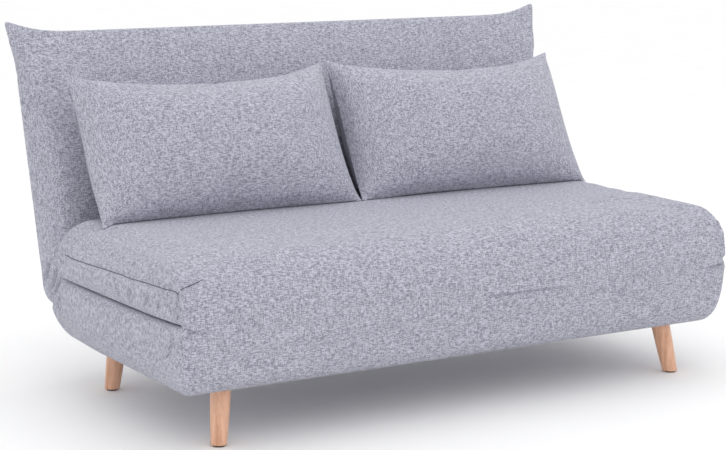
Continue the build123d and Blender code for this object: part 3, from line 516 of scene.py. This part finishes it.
def smooth_path(points):
    """Points at equal steps along a smooth line through a few places."""
    step, pieces = 0.004, 16
    knots = [Vector(p) for p in points]
    knots = [2 * knots[0] - knots[1]] + knots + [2 * knots[-1] - knots[-2]]
    line = []
    for before, start, end, after in zip(knots, knots[1:], knots[2:], knots[3:]):
        for share in np.linspace(0, 1, pieces, endpoint=False):
            bend = (2 * before - 5 * start + 4 * end - after) * share ** 2
            twist = (3 * start - before - 3 * end + after) * share ** 3
            line.append((2 * start + (end - before) * share + bend + twist) / 2)
    line = np.array([tuple(p) for p in line] + [tuple(knots[-2])])
    along = steps_along(line)
    marks = np.linspace(0, along[-1], max(3, int(along[-1] / step)))
    return np.stack([np.interp(marks, along, line[:, k]) for k in range(3)], axis=1)


def evened(line, passes):
    """A line with its small kinks smoothed away and its ends kept."""
    line = line.copy()
    for _ in range(passes):
        line[1:-1] = (line[:-2] + 2 * line[1:-1] + line[2:]) / 4
    return line


def laid_on(surface, points):
    """A smooth line through a few places, laid on a cover's surface, with the normals there."""
    rough_passes, fine_passes, normal_passes = 40, 4, 6
    line = smooth_path(points)
    for passes in (rough_passes, fine_passes):
        hits = [surface.find_nearest(Vector(spot)) for spot in line]
        line = evened(np.array([tuple(hit[0]) for hit in hits]), passes)
    return line, evened(np.array([tuple(hit[1]) for hit in hits]), normal_passes)


def split_finely(piece, lines):
    """Split a cover's faces along its seams and creases, so that they come out crisp."""
    reach, cuts = 0.016, 2
    spots = np.concatenate(lines)
    tree = KDTree(len(spots))
    for i, spot in enumerate(spots):
        tree.insert(spot, i)
    tree.balance()
    work = bmesh.new()
    work.from_mesh(piece.data)
    near = {vertex for vertex in work.verts if tree.find(vertex.co)[2] < reach}
    edges = [edge for edge in work.edges if edge.verts[0] in near and edge.verts[1] in near]
    bmesh.ops.subdivide_edges(work, edges=edges, cuts=cuts, use_grid_fill=True)
    work.to_mesh(piece.data)
    work.free()
    piece.data.shade_smooth()


def end_fade(along):
    """How fully a groove is pressed along a line: less near both ends."""
    run, least = 0.02, 0.25
    return np.clip(np.minimum(along, along[-1] - along) / run, least, 1)


def press(piece, line, depth, width, pucker=0.0, pitch=0.016, lip=0.0):
    """Press a groove into a cover along a line, with lips beside it and puckers across it."""
    at_once, drift, drift_rate = 4000, 2, 37
    groove_reach, lip_offset, ripple_reach = 6, 2, 2.2
    points = points_of(piece.data)
    normals = vectors(piece.data.vertex_normals, "vector")
    reach = groove_reach * width
    near = np.flatnonzero(np.all((points > line.min(0) - reach) & (points < line.max(0) + reach), axis=1))
    along = steps_along(line)
    fades = end_fade(along)
    for part in np.array_split(near, max(1, len(near) // at_once)):
        gaps = np.linalg.norm(points[part, None] - line[None], axis=2)
        nearest = gaps.argmin(1)
        gap = gaps[np.arange(len(part)), nearest]
        place = along[nearest]
        groove = depth * (np.exp(-(gap / width) ** 2) - lip * np.exp(-(gap / width - lip_offset) ** 2))
        wave = np.sin(2 * np.pi * place / pitch + drift * np.sin(place * drift_rate))
        ripple = wave * np.exp(-gap / (ripple_reach * width))
        ripple *= 1 - np.exp(-(gap / width) ** 2)
        points[part] -= normals[part] * ((groove - pucker * ripple) * fades[nearest])[:, None]
    set_points(piece.data, points)


def painted_shade_ridge(name, body, line, normals, depth, ridge=0.0010):
    """The thin ridge of turned cloth lying in a seam's groove, dark with the groove's painted shade."""
    around, stride, flatness = 8, 3, 0.7
    line = line - normals * (depth * end_fade(steps_along(line)) - ridge / 2)[:, None]
    line, normals = line[::stride], normals[::stride]
    ahead = np.gradient(line, axis=0)
    ahead /= np.linalg.norm(ahead, axis=1, keepdims=True)
    side = np.cross(ahead, normals)
    rings = []
    for turn in np.linspace(0, 2 * np.pi, around, endpoint=False):
        rings.append(line + side * ridge * np.cos(turn) + normals * ridge * flatness * np.sin(turn))
    rings = np.stack(rings, axis=1)
    faces = tube_faces(len(rings), around)
    faces.append(tuple(range(around)))
    faces.append(tuple((len(rings) - 1) * around + i for i in range(around))[::-1])
    piece = new_piece(name, rings.reshape(-1, 3), faces)
    dress(piece, "upholstery_cloth")
    # Painted shade: the ridge takes the dark seam cloth, which stands in for the shade in the groove
    piece.data.materials[0] = finish("seam_thread")
    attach(piece, body)
    if body == "seat":
        give_at_fold(piece)


def give_at_fold(piece):
    """Give a seat piece its own copy of its mesh."""
    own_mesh(piece)


def sew(piece, body, seams, edges, creases):
    """Work seams (name, places, depth, width), gathered edges and creases into a cover."""
    gather = {"depth": 0.006, "width": 0.0055, "pucker": 0.0026, "pitch": 0.019}
    gather_ridge, seam_pucker, crease_lip = 0.0007, 0.0003, 0.35
    surface = surface_of(piece)
    seams = [(name, *laid_on(surface, places), depth, width) for name, places, depth, width in seams]
    edges = [(name, *laid_on(surface, places)) for name, places in edges]
    creases = [(laid_on(surface, places)[0], depth, width) for places, depth, width in creases]
    split_finely(piece, [seam[1] for seam in seams + edges] + [crease[0] for crease in creases])
    for line, depth, width in creases:
        press(piece, line, depth, width, lip=crease_lip)
    for name, line, normals in edges:
        press(piece, line, **gather)
        painted_shade_ridge(name, body, line, normals, gather["depth"], gather_ridge)
    for name, line, normals, depth, width in seams:
        press(piece, line, depth, width, seam_pucker)
        painted_shade_ridge(name, body, line, normals, depth)


def at_pad(x, u, v):
    """A place given as X, the distance behind the fold and the height above it."""
    return Vector((x, fold.y + u, fold.z + v))


def pad_end(sizes, sign):
    """X of a place just outside one end of the pads."""
    clearance = 0.004
    return sign * (seat_half + sizes.pad_end_swell + clearance)


def end_path(x, places):
    """Places on a pad's end, each given behind and above the fold."""
    return [at_pad(x, u, v) for u, v in places]


def end_wrinkle(x, top_u, foot_u, heights, bow=0.0):
    """Places of a short wrinkle on a pad's end: its top, its bowed middle and its foot."""
    return end_path(x, zip((top_u, (top_u + foot_u) / 2 + bow, foot_u), heights))


def front_path(sign, places):
    """Places on the pads' front, each given from the middle and above the fold."""
    ahead = -0.014
    return [at_pad(sign * x, ahead, v) for x, v in places]


def cover_front(cover, x, z):
    """Y of a cover's foremost point at X and Z, or far behind where there is none."""
    far_behind = 1.0
    hit = cover.ray_cast(Vector((x, ray_start.y, z)), Vector((0, 1, 0)))[0]
    return hit.y if hit else far_behind


# Covers

pad_cloth = {"pressure": 1.2, "cap": 0.008, "bending": 12.0}
lip_round = 0.007
held_margin = 0.012


def placed_ring(sizes, ring):
    """A ring of a pad set on the fold line, its front corners lifted at the gap and lowered on top."""
    lift_run, lift_depth, lift_height = 0.050, 0.11, 0.08
    fall_start, fall_end, fall_depth, fall_power = 0.16, 0.01, 0.26, 1.5
    x, u, v = ring.T
    end = smooth_rise(np.abs(x), seat_half - lift_run, seat_half)
    front = np.exp(-np.clip(u, 0, None) / lift_depth)
    lift = sizes.corner_lift * end * front * np.clip(1 - np.abs(v) / lift_height, 0, 1)
    shoulder = smooth_rise(np.abs(x), seat_half - fall_start, seat_half - fall_end)
    shoulder = shoulder * np.clip(1 - u / fall_depth, 0, 1.05)
    fall = sizes.corner_fall * shoulder * np.clip(v / pad_thickness, 0, 1) ** fall_power
    return np.stack([x, fold.y + u, fold.z + v + lift - fall], axis=1)


def seat_shell(sizes):
    """The seat pad's cover before it swells."""
    around, columns = 150, 84
    rear_round, rear_foot_round, rear_lean, drop_run = 0.085, 0.036, 0.006, 0.33
    gap = sizes.pad_gap
    corners = [(-sizes.front_swell, gap, lip_round),
               (-sizes.front_swell / 2, pad_thickness, sizes.seat_front_round),
               (seat_length, pad_thickness, rear_round),
               (seat_length - rear_lean, gap, rear_foot_round)]
    outline = start_at_front(rounded_outline(corners, around), pad_thickness / 2)
    fall = np.clip((drop_run - outline[:, 0]) / drop_run, 0, 1.1) ** 2 * sizes.seat_front_drop
    outline[:, 1] -= fall * np.clip(outline[:, 1] / pad_thickness, 0, 1)
    u, v = outline.T
    fullness = 5 + 3 * (1 - smooth_rise(u, 0.05, 0.25)) * smooth_rise(v, 0.05, 0.09)
    fullness = fullness - 2.2 * smooth_rise(v, 0.06, 0.11) * smooth_rise(u, 0.03, 0.20)
    spine = [(0.045, 0.040), (seat_length - 0.055, 0.045)]

    def half_width(points):
        return np.full(len(points), seat_half + sizes.pad_end_swell)

    def end_depth(points):
        behind = 0.1 + 0.9 * smooth_rise(points[:, 0], 0.02, 0.42)
        above = smooth_rise(points[:, 1], 0.06, pad_thickness)
        return sizes.pad_end_depth + sizes.seat_shoulder * behind * above

    rings = pad_rings(outline, fullness, spine, half_width, end_depth, columns)
    return closed_shell("seat_cover_cloth", [placed_ring(sizes, ring) for ring in rings])


def base_shell(sizes):
    """The lower pad's cover with its soft lobe behind the rear hinge, before it swells."""
    around, columns = 156, 90
    front_round, rear_round, lobe_round, hinge_round = 0.052, 0.080, 0.018, 0.012
    lobe_reach, lobe_height = 0.080, -0.094
    inset_start, inset_power = 0.055, 1.8
    gap = sizes.pad_gap
    foot = -pad_thickness - sizes.base_sag
    corners = [(-sizes.front_swell, -gap, lip_round), (0.008, foot, front_round),
               (pad_length + 0.040, foot + 0.004, rear_round),
               (pad_length + lobe_reach, lobe_height, lobe_round), (pad_length, -gap, hinge_round)]
    outline = start_at_front(rounded_outline(corners, around), -pad_thickness / 2)
    fullness = 4 - 0.8 * smooth_rise(-outline[:, 1], 0.05, 0.13)
    spine = [(0.045, -0.045), (pad_length - 0.06, -0.06), (pad_length + 0.035, -0.085)]

    def half_width(points):
        low = np.clip((points[:, 1] + inset_start) / (foot + inset_start), 0, 1)
        rear = smooth_rise(points[:, 0], 0.48, 0.72)
        widest = seat_half + sizes.pad_end_swell
        return widest - sizes.base_foot_inset * low ** inset_power - sizes.base_rear_inset * rear

    def end_depth(points):
        return np.full(len(points), sizes.pad_end_depth)

    rings = pad_rings(outline, fullness, spine, half_width, end_depth, columns)
    return closed_shell("base_cover_cloth", [placed_ring(sizes, ring) for ring in rings])


def back_place(sizes, x, s, t):
    """Points of the backrest: s up its front face from the hinge line, t rearward through it."""
    lean = sizes.back_lean
    return np.stack([x, hinge.y + s * math.sin(lean) + t * math.cos(lean),
                     hinge.z + s * math.cos(lean) - t * math.sin(lean)], axis=1)


def back_shell(sizes):
    """The wedge backrest's cover with its soft lobe below the hinge line, before it swells."""
    around, columns = 150, 90
    hinge_round, lobe_round, rear_round, top_round = 0.010, 0.018, 0.034, 0.005
    top_thickness, fullness = 0.014, 3.4
    crown_start, crown_power = 0.03, 0.7
    ear_height, ear_width, ear_power = 0.026, 0.055, 1.4
    length, depth = sizes.back_length, sizes.back_depth
    corners = [(0.002, 0.0, hinge_round), (-0.060, 0.112, lobe_round), (-0.036, depth + 0.006, rear_round),
               (length, 0.020, top_round), (length, 0.006, top_round)]
    outline = rounded_outline(corners, around)
    start = int(np.argmin(np.abs(outline[:, 0] - length) + np.abs(outline[:, 1] - 0.013)))
    outline = np.roll(outline, -start, axis=0)
    spine = [(0.03, 0.085), (length - 0.012, 0.0135)]

    def half_width(points):
        share = np.clip(points[:, 0] / length, -0.05, 1)
        return sizes.back_half_foot + (sizes.back_half_head - sizes.back_half_foot) * share

    def thickness(points):
        return np.interp(points[:, 0], [0, length], [depth, top_thickness])

    def end_depth(points):
        return 0.010 + 0.18 * thickness(points)

    rings = pad_rings(outline, fullness, spine, half_width, end_depth, columns)
    points = np.concatenate(rings)
    x, s, t = points.T
    half = half_width(points[:, 1:])
    across = 1 - (x / half) ** 2
    along = np.clip(np.sin(np.pi * np.clip((s - crown_start) / (length - crown_start), 0, 1)), 0, 1)
    front = np.clip(1 - t / np.maximum(thickness(points[:, 1:]), 0.02), 0, 1)
    t = t - sizes.back_crown * np.clip(across, 0, 1) ** crown_power * along * front
    reach = np.hypot((length - s) / ear_height, (half - np.abs(x)) / ear_width)
    ear = np.exp(-reach ** ear_power)
    x = x + np.sign(x) * sizes.ear_reach * ear
    s = s + sizes.ear_rise * ear
    points = back_place(sizes, x + sizes.back_shift, s, t)
    return closed_shell("back_cover_cloth", np.split(points, len(rings)))


def pillow_shell(sizes, name):
    """A pillow in its own plane: two panels sewn at a rim that pulls in between the tips."""
    columns, rows = 84, 48
    welt_p, welt_q = 0.985, 0.97
    draw_power, dip_power, lower_dip = 2.4, 2.6, 1 / 4
    swell_p, swell_q, swell_power = 3.2, 2.6, 0.52
    fill_power, fill_middle, fill_slope = 0.7, 0.7, 0.3
    across = np.concatenate([[-1], np.linspace(-welt_p, welt_p, columns - 1), [1]])
    up = np.concatenate([[-1], np.linspace(-welt_q, welt_q, rows - 1), [1]])
    p, q = np.meshgrid(across, up, indexing="ij")
    x = p * (sizes.pillow_width / 2 - sizes.pillow_draw * (1 - np.abs(q) ** draw_power) * np.abs(p))
    dip = np.where(q > 0, sizes.pillow_dip, sizes.pillow_dip * lower_dip)
    y = q * (sizes.pillow_height / 2 - dip * (1 - np.abs(p) ** dip_power) * np.abs(q))
    inner_p = np.minimum(np.abs(p) / across[-2], 1)
    inner_q = np.minimum(np.abs(q) / up[-2], 1)
    swell = ((1 - inner_p ** swell_p) * (1 - inner_q ** swell_q)) ** swell_power
    half = sizes.pillow_depth / 2 * swell + sizes.pillow_welt * ((np.abs(p) < 1) & (np.abs(q) < 1))
    fill = sizes.pillow_rear_fill * (1 - p ** 2) * (1 - q ** 2) ** fill_power
    fill = fill * (fill_middle - fill_slope * q)
    panels = [np.stack([x, y, z], -1).reshape(-1, 3) for z in (half, -half - fill)]
    return new_piece(name, np.concatenate(panels), layer_faces(columns + 1, rows + 1))


class SOFA_OT_seat(Operator):
    """Make the seat pad's cover with its side seams, corner seams and creases"""

    bl_idname = "sofa.seat"
    bl_label = "Seat pad"

    def execute(self, context):
        sizes = context.scene.sofa_sizes
        piece = seat_shell(sizes)
        held = points_of(piece.data)[:, 2] < fold.z + held_margin
        inflate(piece, held, **pad_cloth)
        refine(piece)
        dress(piece, "upholstery_cloth")
        corner = (0.016, 0.076)
        side_seam = ((0.62, 0.061), (0.42, 0.068), (0.20, 0.075), corner)
        corner_seam = (corner, (0.017, 0.050), (0.020, 0.018))
        dart_tips = ((0.734, 0.098), (0.684, 0.126))
        wrinkles = ((0.30, 0.285), (0.215, 0.235), (0.13, 0.158), (0.085, 0.10))
        wrinkle_heights = (0.058, 0.042, 0.022)
        top_crease = ((0.46, 0.181), (0.58, 0.188), (0.70, 0.185))
        top = pad_thickness + 0.01
        # Depth and width of the grooves
        seam_groove, dart_groove = (0.003, 0.006), (0.005, 0.007)
        wrinkle_groove, top_groove = (0.0065, 0.0042), (0.0022, 0.005)
        seams, edges, creases = [], [], []
        for side, sign in sides:
            out = pad_end(sizes, sign)
            seams.append((f"seat_side_seam_{side}", end_path(out, side_seam), *seam_groove))
            dart = [at_pad(out, *corner)] + [at_pad(sign * x, 0.0, v) for x, v in dart_tips]
            if side == "left":
                seams.append(("seat_corner_dart_left", dart, *dart_groove))
            else:
                creases.append((dart, *seam_groove))
            edges.append((f"seat_corner_seam_{side}", end_path(out, corner_seam)))
            for top_u, foot_u in wrinkles:
                places = end_wrinkle(out, top_u, foot_u, wrinkle_heights, bow=0.003)
                creases.append((places, *wrinkle_groove))
        creases.append(([at_pad(x, u, top) for x, u in top_crease], *top_groove))
        sew(piece, "seat", seams, edges, creases)
        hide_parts("seat_cover", "seat_foam_lower", "seat_foam_upper")
        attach(piece, "seat")
        give_at_fold(piece)
        return {"FINISHED"}


class SOFA_OT_base(Operator):
    """Make the lower pad's cover with the soft lobe behind its rear hinge"""

    bl_idname = "sofa.base"
    bl_label = "Lower pad"

    def execute(self, context):
        sizes = context.scene.sofa_sizes
        foot_margin, lobe_run = 0.004, 0.176
        piece = base_shell(sizes)
        height = points_of(piece.data)[:, 2]
        held = (height > fold.z - held_margin) | (height < fold.z - pad_thickness + foot_margin)
        inflate(piece, held, **pad_cloth)
        refine(piece)
        dress(piece, "upholstery_cloth")
        corner_seam = ((0.030, -0.010), (0.034, -0.034), (0.050, -0.056), (0.075, -0.076))
        corner_crease = ((0.745, -0.004), (0.705, -0.009), (0.665, -0.014))
        front_crease = ((0.01, -0.010), (0.13, -0.011), (0.25, -0.009))
        wrinkles = ((0.690, 0.715), (0.655, 0.690))
        wrinkle_heights = (-0.040, -0.066, -0.088)
        # Depth and width of the grooves
        corner_groove, wrinkle_groove, front_groove = (0.012, 0.0045), (0.006, 0.0045), (0.006, 0.0035)
        edges, creases = [], []
        for side, sign in sides:
            out = pad_end(sizes, sign)
            edges.append((f"base_corner_seam_{side}", end_path(out, corner_seam)))
            creases.append((front_path(sign, corner_crease), *corner_groove))
            for top_u, foot_u in wrinkles:
                creases.append((end_wrinkle(out, top_u, foot_u, wrinkle_heights), *wrinkle_groove))
        creases.append((front_path(1, front_crease), *front_groove))
        sew(piece, "base", [], edges, creases)
        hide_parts("base_cover", "base_foam", "rear_gusset")
        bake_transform(piece)
        return {"FINISHED"}


def band_creases(sizes, x, v):
    """Depth of the front band's creases: one in from each corner and a faint one to the right."""
    corner_depth, corner_run, corner_width = 0.011, 0.085, 0.0032
    corner_drop, corner_slope = 0.003, 0.13
    faint_depth, faint_drop, faint_width = 0.0060, 0.010, 0.003
    inward = (sizes.wrap_half_width - np.abs(x))[:, None]
    away = (v[None] + corner_drop + corner_slope * inward) / corner_width
    corner = corner_depth * np.clip(1 - inward / corner_run, 0, 1) * np.exp(-away ** 2)
    window = smooth_rise(x, 0.0, 0.06) * (1 - smooth_rise(x, 0.20, 0.27))
    faint = faint_depth * window[:, None] * np.exp(-((v[None] + faint_drop) / faint_width) ** 2)
    return corner + faint


def over_window(values, reach, measure):
    """A measure, such as the least, of the values within a reach of each in its row."""
    padded = np.pad(values, ((0, 0), (reach, reach)), mode="edge")
    return measure([padded[:, k:k + values.shape[1]] for k in range(2 * reach + 1)], axis=0)


class SOFA_OT_wrap(Operator):
    """Make the band of cloth that closes the front of the fold"""

    bl_idname = "sofa.wrap"
    bl_label = "Front band"

    def execute(self, context):
        sizes = context.scene.sofa_sizes
        half, rise = sizes.wrap_half_width, sizes.wrap_rise
        columns, rows, bridge = 181, 121, 22
        fade_up, fade_across = 3, 40
        thickness, clearance, edge_sink = 0.003, 0.0012, 0.004
        covers = [surface_of(bpy.data.objects[name]) for name in ("seat_cover_cloth", "base_cover_cloth")]
        x = np.linspace(-half, half, columns)
        v = np.linspace(-rise, rise, rows)
        z = fold.z + v
        front = np.array([[min(cover_front(cover, a, b) for cover in covers) for b in z] for a in x])
        bridged = over_window(over_window(front, bridge, np.min), bridge, np.mean)
        middle = (1 - np.abs(v / rise) ** fade_up)[None] * (1 - np.abs(x / half) ** fade_across)[:, None]
        sunk = np.minimum(front, bridged + edge_sink) + edge_sink
        outer = (bridged - clearance) * middle + sunk * (1 - middle)
        outer = outer + band_creases(sizes, x, v)
        across, up = np.meshgrid(x, z, indexing="ij")
        layers = [np.stack([across, outer + depth, up], -1).reshape(-1, 3) for depth in (0, thickness)]
        count = columns * rows
        faces = layer_faces(columns, rows)
        grid = np.arange(count).reshape(columns, rows)
        rim = [grid[:, 0], grid[-1, 1:], grid[-2::-1, -1], grid[0, -2:0:-1]]
        rim = np.concatenate(rim).tolist()
        for a, b in zip(rim, rim[1:] + rim[:1]):
            faces.append((a, b, count + b, count + a))
        piece = new_piece("front_band_cloth", np.concatenate(layers), faces)
        dress(piece, "upholstery_cloth")
        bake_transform(piece)
        return {"FINISHED"}


class SOFA_OT_back(Operator):
    """Make the wedge backrest's cover with its thin top edge and pointed corners"""

    bl_idname = "sofa.back"
    bl_label = "Backrest"

    def execute(self, context):
        sizes = context.scene.sofa_sizes
        held_foot, fold_run = 0.02, 0.109
        wrinkles = (((0.020, 0.025), (-0.030, 0.095)), ((0.045, 0.045), (-0.005, 0.130)))
        bow, depth, width, end_clearance = 0.006, 0.007, 0.005, 0.006
        piece = back_shell(sizes)
        up = np.array((0, math.sin(sizes.back_lean), math.cos(sizes.back_lean)))
        s = (points_of(piece.data) - np.array(hinge)) @ up
        held = (s < held_foot) | (s > sizes.back_length - held_margin)
        inflate(piece, held, pressure=1.0, cap=0.012, slack=0.004)
        refine(piece)
        dress(piece, "upholstery_cloth")
        creases = []
        for _, sign in sides:
            out = np.full(3, sign * (sizes.back_half_foot + end_clearance))
            for start, end in wrinkles:
                middle = ((start[0] + end[0]) / 2, (start[1] + end[1]) / 2 + bow)
                places = back_place(sizes, out, *np.array([start, middle, end]).T)
                creases.append(([Vector(place) for place in places], depth, width))
        sew(piece, "back", [], [], creases)
        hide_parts("back_cover", "back_foam")
        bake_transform(piece)
        return {"FINISHED"}


class SOFA_OT_pillows(Operator):
    """Make the two loose pillows leaning on the backrest"""

    bl_idname = "sofa.pillows"
    bl_label = "Pillows"

    def execute(self, context):
        sizes = context.scene.sofa_sizes
        tilt = sizes.pillow_tilt
        contact, rim_depth, lap_power = 0.0015, 1e-6, 3
        seat_top = surface_of(bpy.data.objects["seat_cover_cloth"])
        back_front = surface_of(bpy.data.objects["back_cover_cloth"])
        lean = Matrix(((1, 0, 0),
                       (0, math.sin(tilt), -math.cos(tilt)),
                       (0, math.cos(tilt), math.sin(tilt))))
        for side, shift, roll in (("left", 0.001, 0.0), ("right", -0.003, math.radians(-0.9))):
            low, high = (Vector(corner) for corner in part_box(f"pillow_cover_{side}"))
            piece = pillow_shell(sizes, f"pillow_{side}_cloth")
            rim = np.abs(points_of(piece.data)[:, 2]) < rim_depth
            inflate(piece, rim, pressure=5.0, cap=0.012, slack=0.004, bending=4.0)
            refine(piece)
            points = points_of(piece.data)
            lap = sizes.pillow_lap * np.clip(-2 * points[:, 1] / sizes.pillow_height, 0, 1) ** lap_power
            points[:, 1] -= lap * math.tan(tilt)
            points[:, 2] += lap
            turn = lean @ Matrix.Rotation(roll, 3, "Z")
            middle = (low + high) / 2 + Vector((shift, 0, 0))
            placed = points @ np.array(turn).T + np.array(middle)
            for place in placed:
                rear = back_front.ray_cast(Vector((place[0], fold.y, place[2])), Vector((0, 1, 0)))[0]
                if rear:
                    place[1] = min(place[1], rear.y - contact)
                top = seat_top.ray_cast(Vector((place[0], place[1], ray_start.z)), Vector((0, 0, -1)))[0]
                if top:
                    place[2] = max(place[2], top.z + contact)
            set_points(piece.data, placed)
            dress(piece, "pillow_cloth")
            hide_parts(f"pillow_cover_{side}", f"pillow_filling_{side}")
            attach(piece, f"pillow_{side}")
        return {"FINISHED"}


def sleeve_mesh(name, middle, half_sizes):
    """A small rounded box of cloth around a hinge eye."""
    squareness = 0.55
    work = bmesh.new()
    bmesh.ops.create_uvsphere(work, u_segments=32, v_segments=16, radius=1.0)
    for vertex in work.verts:
        stretch = [math.copysign(abs(c) ** squareness, c) for c in vertex.co]
        vertex.co = middle + Vector([half * share for half, share in zip(half_sizes, stretch)])
    mesh = bpy.data.meshes.new(name)
    work.to_mesh(mesh)
    work.free()
    mesh.shade_smooth()
    return mesh


class SOFA_OT_sleeves(Operator):
    """Make the small cloth sleeves over the hinge eyes, which show between the pads of the open bed"""

    bl_idname = "sofa.sleeves"
    bl_label = "Hinge sleeves"

    def execute(self, context):
        half_width, clearance = 0.017, 0.0025
        rows = (("front", "flip", fold, 0.004, 0.0135), ("rear", "recline", hinge, 0.0, 0.0185))
        for row, eyes, pivot, setback, half_length in rows:
            for side, _ in sides:
                low, high = (Vector(corner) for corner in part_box(f"{eyes}_bracket_{side}"))
                rise = high.z - pivot.z + clearance
                middle = Vector(((low.x + high.x) / 2, pivot.y + setback, pivot.z))
                name = f"hinge_sleeve_{row}_{side}"
                piece = new_object(name, sleeve_mesh(name, middle, (half_width, half_length, rise)))
                dress(piece, "upholstery_cloth")
                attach(piece, "base")
        return {"FINISHED"}


class SOFA_OT_frame(Operator):
    """Give the wooden legs, the steel frame and the hardware their finishes"""

    bl_idname = "sofa.frame"
    bl_label = "Legs and frame"

    def execute(self, context):
        for part in frame["record"]["subparts"]:
            dress(frame["nodes"][part["node"]], part["material_slot"])
        return {"FINISHED"}


# Studio

# Name, place, diameter and watts
lights = (
    ("key_light", (-1.6, -3.2, 3.4), 2.6, 7),
    ("fill_light", (3.2, -2.2, 2.6), 3.0, 1.5),
    ("top_light", (0.2, 0.2, 3.6), 3.0, 18),
)
light_target = Vector((0, 0, 0.4))
sky_strength = 1.04
camera_place = (-2.435, -3.9315, 1.16)
camera_view = Vector((0.51387, 0.84119, -0.16834))


def facing(direction):
    """The rotation of a lamp or camera that looks in a direction."""
    return direction.to_track_quat("-Z", "Y").to_euler()


class SOFA_OT_stage(Operator):
    """Make the pale floor, the soft studio lights and the camera"""

    bl_idname = "sofa.stage"
    bl_label = "Stage"

    def execute(self, context):
        scene = context.scene
        pale = scene.sofa_colours.floor
        half, mottle_scale, mottle_tone = 60, 3, 0.985
        corners = [(-half, -half, 0), (half, -half, 0), (half, half, 0), (-half, half, 0)]
        floor = new_piece("studio_floor", corners, [(0, 1, 2, 3)])
        material, tree, shader, coords = start_material("studio_floor", {"Roughness": 0.8})
        mottle = noise_field(tree, coords, mottle_scale)
        paint(tree, shader, mottle, [c * mottle_tone for c in pale], pale, low=0.3, high=0.7)
        floor.data.materials.append(material)
        for name, place, diameter, watts in lights:
            lamp = bpy.data.lights.new(name, "AREA")
            lamp.shape = "DISK"
            lamp.size = diameter
            lamp.energy = watts
            light = new_object(name, lamp)
            light.location = place
            light.rotation_euler = facing(light_target - Vector(place))
        world = bpy.data.worlds.new("studio_sky")
        world.use_nodes = True
        sky = world.node_tree.nodes["Background"]
        sky.inputs["Color"].default_value = (1, 1, 1, 1)
        sky.inputs["Strength"].default_value = sky_strength
        scene.world = world
        scene.view_settings.view_transform = "Standard"
        lens = bpy.data.cameras.new("photo_camera")
        lens.lens = 94.66
        lens.sensor_width = 36.0
        camera = new_object("photo_camera", lens)
        camera.location = camera_place
        camera.rotation_euler = facing(camera_view)
        scene.camera = camera
        return {"FINISHED"}


class SOFA_PT_panel(Panel):
    """The sofa bed's sizes, colours and pieces"""

    bl_idname = "SOFA_PT_panel"
    bl_label = "Sofa bed"
    bl_space_type = "VIEW_3D"
    bl_region_type = "UI"
    bl_category = "Sofa bed"

    def draw(self, context):
        for group in (context.scene.sofa_sizes, context.scene.sofa_colours):
            box = self.layout.box()
            for name in group.__annotations__:
                box.prop(group, name)
        for operator in operators:
            self.layout.operator(operator.bl_idname)


operators = (SOFA_OT_frame, SOFA_OT_base, SOFA_OT_seat, SOFA_OT_wrap, SOFA_OT_sleeves, SOFA_OT_back,
             SOFA_OT_pillows, SOFA_OT_stage)
classes = (SofaSizes, SofaColours, *operators, SOFA_PT_panel)


def register():
    for cls in classes:
        bpy.utils.register_class(cls)
    bpy.types.Scene.sofa_sizes = PointerProperty(type=SofaSizes)
    bpy.types.Scene.sofa_colours = PointerProperty(type=SofaColours)


def unregister():
    del bpy.types.Scene.sofa_colours
    del bpy.types.Scene.sofa_sizes
    for cls in reversed(classes):
        bpy.utils.unregister_class(cls)


def main():
    register()
    bpy.ops.sofa.frame()
    bpy.ops.sofa.base()
    bpy.ops.sofa.seat()
    bpy.ops.sofa.wrap()
    bpy.ops.sofa.sleeves()
    bpy.ops.sofa.back()
    bpy.ops.sofa.pillows()
    bpy.ops.sofa.stage()


if __name__ == "__main__":
    main()
